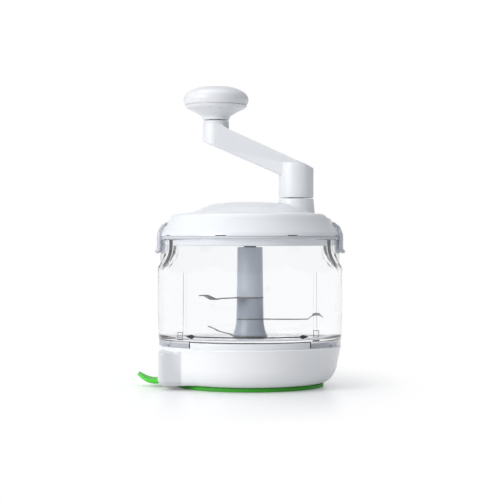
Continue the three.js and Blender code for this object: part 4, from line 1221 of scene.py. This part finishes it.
# Blade column. A core on the steel pivot pin carries three blue grey satin sleeves, which
# clamp the blades between them and leave a thin dark line at each.
foot_low, foot_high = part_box("column_foot_sleeve")
middle_low, middle_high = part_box("column_middle_sleeve")
upper_low, upper_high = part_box("column_upper_sleeve")
column_radius = middle_high.x
column_bore = 7.8 * mm
column_top_radius = 10.2 * mm
column_cap = 2 * mm
cap_fillet = 0.2 * mm
driver_room = 5.6 * mm
flare = foot_high.x - column_radius
flare_shares = [(1, 0), (0.72, 0.14), (0.42, 0.36), (0.16, 0.66), (0, 1)]
column_grey = (0.36, 0.4, 0.465, 1)
# Painted light: the upper sleeve gets a paler copy of the same column plastic, so the column's top renders
# brighter.
lit_upper_sleeve_grey = (0.55, 0.59, 0.65, 1)
sleeve_fillet = 0.25 * mm
sleeve_taper = 0.3 * mm


def foot_sleeve_piece():
    height = foot_high.z - foot_low.z
    flared = smooth_line(flare_shares, 5)
    outside = [(column_radius + share * flare, foot_low.z + rise * height) for share, rise in flared]
    widest = outside[0][0]
    outside[:1] = [(widest - sleeve_fillet, foot_low.z), (widest, foot_low.z + sleeve_fillet)]
    outline = [(column_bore, foot_low.z), *outside, (column_bore, foot_high.z)]
    return turned_piece("column_foot", outline, middle_steps)


def middle_sleeve_piece():
    return turned_piece("column_middle", filleted([
        (column_bore, middle_low.z, 0), (column_radius, middle_low.z, sleeve_fillet),
        (column_radius - sleeve_taper, middle_high.z, sleeve_fillet), (column_bore, middle_high.z, 0),
    ]), middle_steps)


def upper_sleeve_piece():
    cap_under = upper_high.z - column_cap
    return turned_piece("column_upper", filleted([
        (column_bore, upper_low.z, 0), (column_radius - sleeve_taper, upper_low.z, sleeve_fillet),
        (column_top_radius, upper_high.z, skirt_fillet), (driver_room, upper_high.z, slight_fillet),
        (driver_room, cap_under, cap_fillet), (column_bore, cap_under, cap_fillet),
    ]), middle_steps)


column_plastic, lit_upper_sleeve_plastic = [
    moulded(
        name, colour, 0.3, Mottle=0.05, Mottle_Size=0.02, Polish=0.12, Peel_Size=0.0008, Peel_Height=0.00001,
    )
    for name, colour in [
        ("blue_grey_column_plastic", column_grey), ("lit_blue_grey_column_plastic", lit_upper_sleeve_grey),
    ]
]
dressed(foot_sleeve_piece(), column_plastic, "blades", "grey_plastic", "column_foot_sleeve")
dressed(middle_sleeve_piece(), column_plastic, "blades", "grey_plastic", "column_middle_sleeve")
dressed(upper_sleeve_piece(), lit_upper_sleeve_plastic, "blades", "grey_plastic", "column_upper_sleeve")
coated(nodes["column_core"], column_plastic)
coated(nodes["blade_pivot_pin"], pin_steel)

# Blades. Three thin stainless strips, ground to an edge along one side and bent up or down
# near their tips; each has a round eye, 1.2 mm thick, that sits between two sleeves.
blade_thickness = 1.2 * mm
blade_root_half = 7.5 * mm
blade_tip_half = 3.5 * mm
blade_reach = 59 * mm
blade_grind = 2.4 * mm
blade_back_share = 0.75
blade_edge_half = 0.08 * mm
edge_tip_share = 0.4
back_bow_share = 0.7
back_tip_share = 1.6
back_haste = 1.13
rounded_from_share = 0.9
blade_hole = 7.8 * mm
eye_fillet = 0.1 * mm
eye_steps = 64
twist_start = 15 * mm
twist_run = 6 * mm
steepest_roll = 0.4
# Painted shade: the blades' steel is given a dark colour, far darker than bare steel, so the blades render as
# the dark lines they show inside the bowl.
blade_steel = metal(
    "ground_blade_steel", (0.17, 0.175, 0.185, 1), 0.24, Tone=0.25, Line_Size=0.0009, Dullness=0.2,
    Line_Height=0.00002,
)
# For each blade: where its top lies, its eye's radius, its turn in degrees, its twist, its lean, and
# its bend as (reach, rise) in millimetres.
blades = {
    "blade_lower": (foot_low.z, foot_high.x, 124, 1.48, 0.09,
                    [(15, 0), (24, 0.3), (42, 2), (51, 3.8), (61, 5.6)]),
    "blade_middle": (middle_low.z, column_radius, -4, 0.07, -0.05,
                     [(44, 0), (48, 1.2), (51.5, 3), (56.5, 3.1), (61, 0.2)]),
    "blade_upper": (upper_low.z, column_radius, 226, 0, 0.07,
                    [(36, 0), (42, -0.6), (47, 0.8), (53, 2.7), (61, 2.9)]),
}


def curve_at(start, handle, end, share):
    """A point of a curve with one handle."""
    other = 1 - share
    return other * other * start + 2 * other * share * handle + share * share * end


def blade_section(share):
    """Where the ground edge and the back are at a share of the blade's length."""
    edge = curve_at(-blade_root_half, -blade_root_half, blade_tip_half * edge_tip_share, share)
    bow, end = blade_root_half * back_bow_share, blade_tip_half * back_tip_share
    back = curve_at(blade_root_half, bow, end, min(share * back_haste, 1))
    if share > rounded_from_share:
        rounded = (share - rounded_from_share) / (1 - rounded_from_share)
        back += (blade_tip_half - back) * rounded ** 2
    return edge, back


def blade_piece(node, top, eye_reach, turn, twist, lean, bend):
    """A bent strip that leans about its length, by lean and by twist times how steeply it climbs."""
    middle = top - blade_thickness + blade_thickness / 2
    top_run = smooth_line([(0, 0), *[(reach * mm, rise * mm) for reach, rise in bend]], 6)
    steps = 40
    half = blade_thickness / 2 * blade_back_share
    loops = []
    for share in [k / steps for k in range(steps + 1)]:
        x = share * blade_reach
        rise, climb = 0, 0
        for (x0, z0), (x1, z1) in zip(top_run, top_run[1:]):
            if x0 <= x <= x1 and x1 > x0:
                climb = (z1 - z0) / (x1 - x0)
                rise = z0 + climb * (x - x0)
        clear_of_eye = min(max((x - twist_start) / twist_run, 0), 1)
        roll = clear_of_eye * max(min(twist * climb + lean, steepest_roll), -steepest_roll)
        edge, back = blade_section(share)
        ground = edge + min(blade_grind, (back - edge) / 2)
        loops.append([(x, y, middle + rise + y * roll + lift) for y, lift in [
            (edge, -blade_edge_half), (ground, -half), (back, -half), (back, half), (ground, half),
            (edge, blade_edge_half),
        ]])
    strip = skinned(f"{node}_ground", loops)
    below, above = middle - blade_thickness / 2, middle + blade_thickness / 2
    whole = carve(strip, "UNION", [rod("eye", eye_reach, below, above, steps=eye_steps, fillet=eye_fillet)])
    clear = 2 * blade_thickness
    hole = rod("hole", blade_hole, middle - clear, middle + clear, steps=eye_steps)
    whole = carve(whole, "DIFFERENCE", [hole])
    whole.data.transform(Matrix.Rotation(math.radians(turn), 4, "Z"))
    return dressed(whole, blade_steel, "blades", "blade_steel", node)


for node, form in blades.items():
    blade_piece(node, *form)

# Lid plate. The white plate that closes the lid from below, with the skirt that fits inside
# the bowl, a cup for the crank shaft's end and a socket for the driver's bush.
plate_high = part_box("lid_plate")[1]
plate_radius = plate_high.x
plate_top = plate_high.z
plate_thickness = 2.4 * mm
skirt_wall = 2.2 * mm
skirt_depth = 7.8 * mm
skirt_bottom = plate_top - skirt_depth
shaft_low, shaft_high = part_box("crank_shaft")
shaft_x = (shaft_low.x + shaft_high.x) / 2
journal_cup_radius = 7.5 * mm
journal_cup_floor = 1.2 * mm
journal_radius = 4.3 * mm
journal_depth = 5 * mm
bush_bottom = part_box("driver_bush")[0].z
bush_radius = 8.1 * mm
driver_socket_radius = 10.5 * mm
lid_screw_length = 10 * mm
lid_screw_circle = 58 * mm
lid_screw_turn = 70


def lid_plate_piece():
    under = plate_top - plate_thickness
    inner = plate_radius - skirt_wall
    plate = turned_piece("lid_plate_white", filleted([
        (0, under, 0), (inner, under, rim_fillet), (inner, skirt_bottom, rim_fillet),
        (plate_radius, skirt_bottom, skirt_fillet), (plate_radius, plate_top, fine_fillet), (0, plate_top, 0),
    ]))
    inlaid, past_top = plate_top - overshoot, plate_top + overshoot
    cup_bottom = plate_top - journal_depth - journal_cup_floor
    plate = carve(plate, "UNION", [
        rod("journal_cup", journal_cup_radius, cup_bottom, inlaid, (shaft_x, 0), 48, small_fillet),
        rod("driver_socket", driver_socket_radius, bush_bottom, inlaid, steps=64, fillet=soft_fillet),
    ])
    return carve(plate, "DIFFERENCE", [
        rod("journal_bore", journal_radius, plate_top - journal_depth, past_top, (shaft_x, 0)),
        rod("driver_bore", bush_radius, bush_bottom - overshoot, past_top, steps=64),
    ])


lid_plastic = moulded(
    "white_lid_plastic", (0.84, 0.857, 0.885, 1), 0.2, specular=0.45, Mottle=0.02, Mottle_Size=0.05,
    Polish=0.07, Peel_Size=0.0012, Peel_Height=0.000006,
)
dressed(lid_plate_piece(), lid_plastic, "lid", "white_plastic", "lid_plate")

# Lid gasket. A plain ring of grey silicone with rounded edges. It lies round the plate's
# skirt and seals the lid on the bowl's rim.
gasket_low, gasket_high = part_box("lid_gasket")
gasket_inner = plate_radius + running_gap
gasket_fillet = 0.7 * mm
gasket = turned_piece("lid_gasket_ring", filleted([
    (gasket_inner, gasket_low.z, slight_fillet), (gasket_high.x, gasket_low.z, gasket_fillet),
    (gasket_high.x, gasket_high.z, gasket_fillet), (gasket_inner, gasket_high.z, slight_fillet),
]))
silicone = moulded(
    "grey_silicone", (0.66, 0.68, 0.72, 1), 0.5, specular=0.35, Mottle=0.05, Mottle_Size=0.01,
    Peel_Size=0.0006, Peel_Height=0.00002,
)
dressed(gasket, silicone, "lid", "grey_silicone", "lid_gasket")

# Lid cover. A glossy white dome with a raised disc, the crank's boss off its middle and eight
# snap slots round its foot; the latches' hinges sit in grooves on its sides.
cover_low, cover_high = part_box("lid_cover")
cover_radius = 73 * mm
cover_bottom = cover_low.z
cover_wall = 2.2 * mm
shoulder_height = 19 * mm
shoulder_top = cover_bottom + shoulder_height
disc_radius = 45.4 * mm
disc_rise = 8.8 * mm
shoulder_shares = [
    (1, 0), (0.988, 0.142), (0.96, 0.3), (0.918, 0.56), (0.89, 0.77), (0.868, 0.88), (0.836, 0.935),
    (0.74, 0.974),
]
disc_shares = [(1.02, 0), (0.99, 0.09), (0.848, 0.432), (0.716, 0.693), (0.6, 0.83), (0.3, 0.96), (0, 1)]
boss_top = cover_high.z
boss_radius = 14 * mm
boss_foot_radius = 15.2 * mm
boss_fillet = 1.6 * mm
boss_edge = 0.7 * mm
slot_count = 8
slot_half_width = 4.3 * mm
slot_height = 0.6 * mm
slot_offset = 27
bush_bore = 8.8 * mm
flange_room = 11.2 * mm
flange_depth = 1.4 * mm
knuckle_room = 2.4 * mm
tongue_half = 9 * mm
seat_half = 22 * mm
seat_start_inset = 27 * mm
seat_end_inset = 4 * mm
seat_rise = 0.5 * mm
seat_fall = 6.6 * mm
seat_start = Vector((cover_radius - seat_start_inset, shoulder_top + seat_rise))
seat_end = Vector((cover_radius - seat_end_inset, shoulder_top - seat_fall))
latch_left_pin = [(a + b) / 2 for a, b in zip(*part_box("latch_pin_left"))]
latch_pivot_reach = -latch_left_pin[0]
latch_pivot_height = latch_left_pin[2]


def cover_line():
    """The dome's outline from its foot to its middle."""
    shoulder = scaled_line(shoulder_shares, 5, cover_radius, cover_bottom, shoulder_height)
    return shoulder + scaled_line(disc_shares, 5, disc_radius, shoulder_top, disc_rise)


def dome_height(radius, line):
    """Height of the dome's outside at a distance from the axis."""
    for (r0, z0), (r1, z1) in zip(line, line[1:]):
        if r1 <= radius <= r0:
            return z0 + (z1 - z0) * (r0 - radius) / (r0 - r1) if r0 > r1 else z0
    return line[-1][1]


def seat_height(x, y):
    """Height of the flat on the right shoulder, or a height above the lid where there is none."""
    if not seat_start.x <= x <= seat_end.x or abs(y) > seat_half:
        return boss_top
    return seat_start.y + (seat_end.y - seat_start.y) * (x - seat_start.x) / (seat_end.x - seat_start.x)


def seated_shell(cover, line):
    """The dome with its flat cut in on the right and a backing one wall thick under it."""
    slope = [(seat_start.x, seat_start.y), (seat_end.x, seat_end.y)]
    under = [(x, z - cover_wall) for x, z in reversed(slope)]
    backing = side_prism("backing", slope + under, seat_half + cover_wall)
    solid_dome = turned_piece("solid_dome", [(0, cover_bottom), *line], 192)
    backing = carve(backing, "INTERSECT", [solid_dome])
    cutter = side_prism("seat", slope + [(seat_end.x, boss_top), (seat_start.x, boss_top)], seat_half)
    return carve(carve(cover, "UNION", [backing]), "DIFFERENCE", [cutter])


def boss_bead(line):
    """The fillet between the crank's boss and the dome."""
    fillet_steps, around_steps = 6, 96
    taper = (boss_foot_radius - boss_radius) / (boss_top - cover_bottom - shoulder_height)
    loops = []
    for k in range(around_steps):
        angle = 2 * math.pi * k / around_steps
        ray = Vector((math.cos(angle), math.sin(angle)))
        foot = Vector((shaft_x, 0)) + ray * boss_foot_radius
        low = min(dome_height(foot.length, line), seat_height(foot.x, foot.y))
        outer = Vector((shaft_x, 0)) + ray * (boss_foot_radius + boss_fillet)
        outer_low = min(dome_height(outer.length, line), seat_height(outer.x, outer.y))
        side = boss_foot_radius - taper * (low + boss_fillet - cover_bottom - shoulder_height)
        top = Vector((shaft_x + ray.x * side, ray.y * side, low + boss_fillet))
        heel, bottom = Vector((foot.x, foot.y, low)), Vector((outer.x, outer.y, outer_low))
        inward_x, inward_y = ray.x * overshoot, ray.y * overshoot
        loops.append([
            (foot.x - inward_x, foot.y - inward_y, low - overshoot),
            (top.x - inward_x, top.y - inward_y, top.z),
            *[curve_at(top, heel, bottom, step / fillet_steps) for step in range(fillet_steps + 1)],
            (bottom.x, bottom.y, bottom.z - overshoot),
        ])
    return skinned("boss_bead", loops, True)


def lid_cover_piece():
    line = cover_line()
    inner = drawn_in(line, cover_wall)
    inner[0] = (cover_radius - cover_wall, cover_bottom)
    inner[-1] = (0, line[-1][1] - cover_wall)
    cover = seated_shell(turned_piece("lid_cover_white", [*line, *reversed(inner)], bowl_steps), line)
    boss_bottom = shoulder_top - cover_wall
    boss = turned_piece("boss", filleted([
        (0, boss_bottom, 0), (boss_foot_radius, boss_bottom, 0), (boss_radius, boss_top, boss_edge),
        (0, boss_top, 0),
    ]), 96, (shaft_x, 0, 0))
    cover = carve(cover, "UNION", [carve(boss, "UNION", [boss_bead(line)])])
    past_boss = boss_top + overshoot
    cutters = [
        rod("bush_bore", bush_bore, cover_bottom + shoulder_height / 2, past_boss, (shaft_x, 0), 64),
        rod("flange_room", flange_room, boss_top - flange_depth, past_boss, (shaft_x, 0), 64),
    ]
    for k in range(slot_count):
        slot = box_piece(
            "slot", (cover_radius - 2 * cover_wall, -slot_half_width, cover_bottom - overshoot),
            (cover_radius + overshoot, slot_half_width, cover_bottom + slot_height),
        )
        slot.data.transform(Matrix.Rotation(math.radians(slot_offset - 90 + 360 * k / slot_count), 4, "Z"))
        cutters.append(slot)
    room_half = tongue_half + running_gap
    for x in (-latch_pivot_reach, latch_pivot_reach):
        cutters.append(cross_bar("knuckle_room", knuckle_room, room_half, x, 0, latch_pivot_height, 32))
    return carve(cover, "DIFFERENCE", cutters)


dressed(lid_cover_piece(), lid_plastic, "lid", "white_plastic", "lid_cover")

# Gear train. A pale acetal wheel and pinion turn the blades faster than the crank; steel
# shaft, clip and acetal bushes sit in the lid, and the dark driver reaches the column.
acetal = moulded("pale_acetal", (0.78, 0.77, 0.73, 1), 0.38, Mottle=0.05, Peel_Height=0.00001)
for hidden in ("drive_gear", "driver_pinion", "shaft_bush", "driver_bush"):
    coated(nodes[hidden], acetal)
shaft_steel = metal("turned_shaft_steel", (0.6, 0.61, 0.63, 1), 0.25, stretch=(1, 1, 0.1))
for hidden in ("crank_shaft", "shaft_clip", "knob_axle"):
    coated(nodes[hidden], shaft_steel)
driver_plastic = moulded("dark_driver_plastic", (0.09, 0.095, 0.1, 1), 0.4, Mottle=0.1, Peel_Height=0.00002)
coated(nodes["driver_shaft"], driver_plastic)
ring_of_screws(
    "lid_screws_threaded", lid_screw_length, plate_top - plate_thickness, lid_screw_circle, lid_screw_turn,
    "lid", [f"lid_screw_{k}" for k in range(1, screw_count + 1)],
)

# Latches. Two smoke grey translucent straps hinged on the lid's shoulder; each runs down over
# the bowl's sunken U and hooks under its edge with a small flared foot.
latch_half_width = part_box("latch_right")[1].y
latch_thickness = 2.2 * mm
latch_line_points = [(reach * mm, height * mm) for reach, height in [
    (67.3, 130.9), (70.8, 129.4), (72.7, 126.4), (74.1, 122.8), (74.4, 119), (74.4, 111.8), (75.2, 109.6),
    (77, 108.2),
]]
shoulder_drop_start = 127.5 * mm
shoulder_drop_end = 123.1 * mm
knuckle_radius = 2.1 * mm
latch_bore_radius = 1.3 * mm
latch_tint = (0.78, 0.8, 0.84, 1)


def latch_piece(name, side, body, node):
    line = smooth_line(latch_line_points, 6)
    half_thick = latch_thickness / 2
    steps = 14
    loops = []
    for (radius, height), direction in zip(line, directions(line)):
        dropped = (shoulder_drop_start - height) / (shoulder_drop_start - shoulder_drop_end)
        widened = math.sin(min(max(dropped, 0), 1) * math.pi / 2)
        half = tongue_half + (latch_half_width - tongue_half) * widened
        out = Vector((-direction.y, direction.x))
        if out.x < 0:
            out = -out
        loop = []
        for face in (1, -1):
            for k in range(steps + 1):
                y = half * math.sin((2 * k / steps - 1) * face * math.pi / 2)
                past_flat = max(abs(y) - half + half_thick, 0) / half_thick
                lift = face * half_thick * math.sqrt(max(1 - past_flat ** 2, 0))
                x, y, z = on_circle(radius + out.x * lift, y / radius, height + out.y * lift)
                loop.append((side * x, y, z))
        loops.append(loop)
    pivot = (side * latch_pivot_reach, 0, latch_pivot_height)
    knuckle = cross_bar("knuckle", knuckle_radius, tongue_half, *pivot, 32)
    latch = carve(skinned(name, loops), "UNION", [knuckle])
    latch = carve(latch, "DIFFERENCE", [cross_bar("bore", latch_bore_radius, 2 * tongue_half, *pivot)])
    return dressed(latch, latch_plastic, body, "smoke_plastic", node)


latch_plastic = clear_plastic("smoke_latch_plastic", latch_tint, 0.4, 1.46, (0.75, 0.77, 0.8, 1), 0.5)
latch_piece("latch_left_strap", -1, "left_latch", "latch_left")
latch_piece("latch_right_strap", 1, "right_latch", "latch_right")

# Crank arm. A glossy white moulding: a round hub on the shaft, a flat sided bar that slants up
# to the left, and a short round post for the knob, all with softly rounded edges.
arm_low, arm_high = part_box("crank_arm")
knob_low, knob_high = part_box("knob_body")
knob_x = (knob_low.x + knob_high.x) / 2
hub_radius = arm_high.x - shaft_x
post_radius = knob_x - arm_low.x
neck_radius = 10.4 * mm
bar_hub_half = 8 * mm
hub_bottom = arm_low.z
post_top = arm_high.z
hub_top = 176 * mm
hub_corner = 171.5 * mm
slope_start = 180.5 * mm
slope_reach = 4.7 * mm
post_bottom = 198.3 * mm
post_corner = 207.2 * mm
post_shoulder = 211.4 * mm
post_rooting = 2 * mm
post_root = post_shoulder - post_rooting
shoulder_reach = 4.4 * mm
arm_round = 1.3 * mm
arm_round_angle = math.radians(32)
groove_half = 0.35 * mm
groove_drops = (6.4 * mm, 1.6 * mm)
thread_radius = 3.2 * mm
thread_depth = 12 * mm
socket_radius = 6.2 * mm
socket_depth = 15 * mm


def plan_loop(height, steps=40):
    """The bar's outline from above: two circles and their common tangents."""
    lean = math.acos((bar_hub_half - post_radius) / (shaft_x - knob_x))
    loop = []
    for centre, radius, start, turn in [
        (shaft_x, bar_hub_half, lean - math.pi, 2 * math.pi - 2 * lean),
        (knob_x, post_radius, math.pi - lean, 2 * lean),
    ]:
        for angle in [start + turn * k / steps for k in range(steps + 1)]:
            x, y, z = on_circle(radius, angle, height)
            loop.append((centre + x, y, z))
    return loop


def post_piece():
    """The round post under the knob, with two fine ring grooves near its top."""
    line = [(0, post_root, 0), (neck_radius, post_root, 0)]
    for drop in groove_drops:
        height = post_top - drop
        for reach, rise in [(0, -groove_half), (-groove_half, 0), (0, groove_half)]:
            line.append((neck_radius + reach, height + rise, groove_half / 2))
    line += [(neck_radius, post_top, slight_fillet), (0, post_top, 0)]
    return turned_piece("post", filleted(line), 80, (knob_x, 0, 0))


def crank_arm_piece():
    far_left, far_right = arm_low.x - overshoot, arm_high.x + overshoot
    hub_side = shaft_x - hub_radius
    top_line = [
        (far_right, hub_top - (far_right - shaft_x - hub_radius) / 2), (shaft_x + slope_reach, slope_start),
        (knob_x + post_radius, post_corner), (knob_x + shoulder_reach, post_shoulder),
        (far_left, post_shoulder),
    ]
    slope = (post_bottom - hub_corner) / (arm_low.x - hub_side)
    bar_outline = [
        (far_right, hub_corner - overshoot), *top_line, (far_left, post_bottom - slope * overshoot),
        (hub_side, hub_corner), (shaft_x, hub_corner - overshoot),
    ]
    hub_outline = [(far_left, hub_bottom - overshoot), (far_right, hub_bottom - overshoot), *top_line]
    bar = skinned("crank_arm_white", [plan_loop(hub_bottom), plan_loop(post_top)])
    bar = carve(bar, "INTERSECT", [side_prism("bar_side", bar_outline, 2 * hub_radius)])
    hub = rod("hub", hub_radius, hub_bottom, slope_start, (shaft_x, 0), 80)
    hub = carve(hub, "INTERSECT", [side_prism("hub_side", hub_outline, 2 * hub_radius)])
    arm = carve(bar, "UNION", [hub])
    post = post_piece()
    round_edges = arm.modifiers.new("round_edges", "BEVEL")
    round_edges.width = arm_round
    round_edges.segments = 4
    round_edges.limit_method = "ANGLE"
    round_edges.angle_limit = arm_round_angle
    apply_modifiers(arm)
    arm = carve(arm, "UNION", [post])
    return carve(arm, "DIFFERENCE", [
        rod("thread_hole", thread_radius, post_top - thread_depth, post_top + overshoot, (knob_x, 0)),
        rod("shaft_hole", socket_radius, hub_bottom - overshoot, hub_bottom + socket_depth, (shaft_x, 0), 48),
    ])


arm_plastic = moulded(
    "white_arm_plastic", (0.8, 0.815, 0.84, 1), 0.26, specular=0.45, Mottle=0.02, Mottle_Size=0.04,
    Polish=0.1, Peel_Size=0.0012, Peel_Height=0.000008,
)
dressed(crank_arm_piece(), arm_plastic, "crank", "white_plastic", "crank_arm")

# Knob. Two glossy white shells snapped together with a fine seam below the widest line: a
# lower one with a flared neck that turns on the axle, and a shallow domed cap.
cap_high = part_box("knob_cap")[1]
knob_radius = cap_high.x - knob_x
knob_bottom = knob_low.z
knob_split = knob_high.z
body_height = knob_split - knob_bottom
cap_height = cap_high.z - knob_split
knob_wall = 2.2 * mm
axle_room = 4.3 * mm
pocket_radius = 8.4 * mm
pocket_rise = 6.8 * mm
pocket_share = 0.8
knob_steps = 128
seam_round = 0.35 * mm
seam_depth = 0.9 * mm
seam_half = 0.25 * mm
seam_drop = 1.6 * mm
body_shares = [
    (0.398, 0), (0.413, 0.118), (0.447, 0.221), (0.53, 0.324), (0.644, 0.456),
    (0.777, 0.588), (0.89, 0.691), (0.947, 0.831), (0.977, 1),
]
cap_shares = [
    (0.977, 0), (1, 0.19), (0.991, 0.3), (0.966, 0.42), (0.92, 0.54),
    (0.845, 0.66), (0.74, 0.77), (0.583, 0.88), (0.4, 0.95), (0, 1),
]


def knob_pieces():
    body_line = scaled_line(body_shares, 5, knob_radius, knob_bottom, body_height)
    dome_line = scaled_line(cap_shares, 6, knob_radius, knob_split, cap_height)
    seam = knob_split - seam_drop
    clear = seam_half + seam_round
    below = [point for point in body_line if point[1] < seam - clear]
    above = [point for point in body_line if seam + clear < point[1] < knob_split] + dome_line[1:]
    rim = (below[-1][0] + above[0][0]) / 2
    pocket_top = knob_bottom + pocket_rise
    body = turned_piece("knob_body_white", [
        (axle_room, knob_bottom), *below, (rim, seam - clear), (rim - seam_round, seam - seam_half),
        (rim - seam_depth, seam - seam_half), (rim - seam_depth, seam), (rim - knob_wall, seam),
        (rim * pocket_share, seam - knob_wall), (pocket_radius, pocket_top), (axle_room, pocket_top),
    ], knob_steps, (knob_x, 0, 0))
    inside = [point for point in drawn_in(above, knob_wall)[:-1] if point[1] > knob_split]
    cap = turned_piece("knob_cap_white", [
        (rim - seam_depth, seam), (rim - seam_depth, seam + seam_half), (rim - seam_round, seam + seam_half),
        (rim, seam + clear), *above, (0, above[-1][1] - knob_wall), *reversed(inside),
        (rim - knob_wall, seam),
    ], knob_steps, (knob_x, 0, 0))
    return body, cap


knob_plastic = moulded(
    "white_knob_plastic", (0.79, 0.802, 0.825, 1), 0.22, specular=0.5, Mottle=0.02, Mottle_Size=0.03,
    Polish=0.12, Peel_Size=0.001, Peel_Height=0.000008,
)
knob_shell, knob_dome = knob_pieces()
dressed(knob_shell, knob_plastic, "knob", "white_plastic", "knob_body")
dressed(knob_dome, knob_plastic, "knob", "white_plastic", "knob_cap")
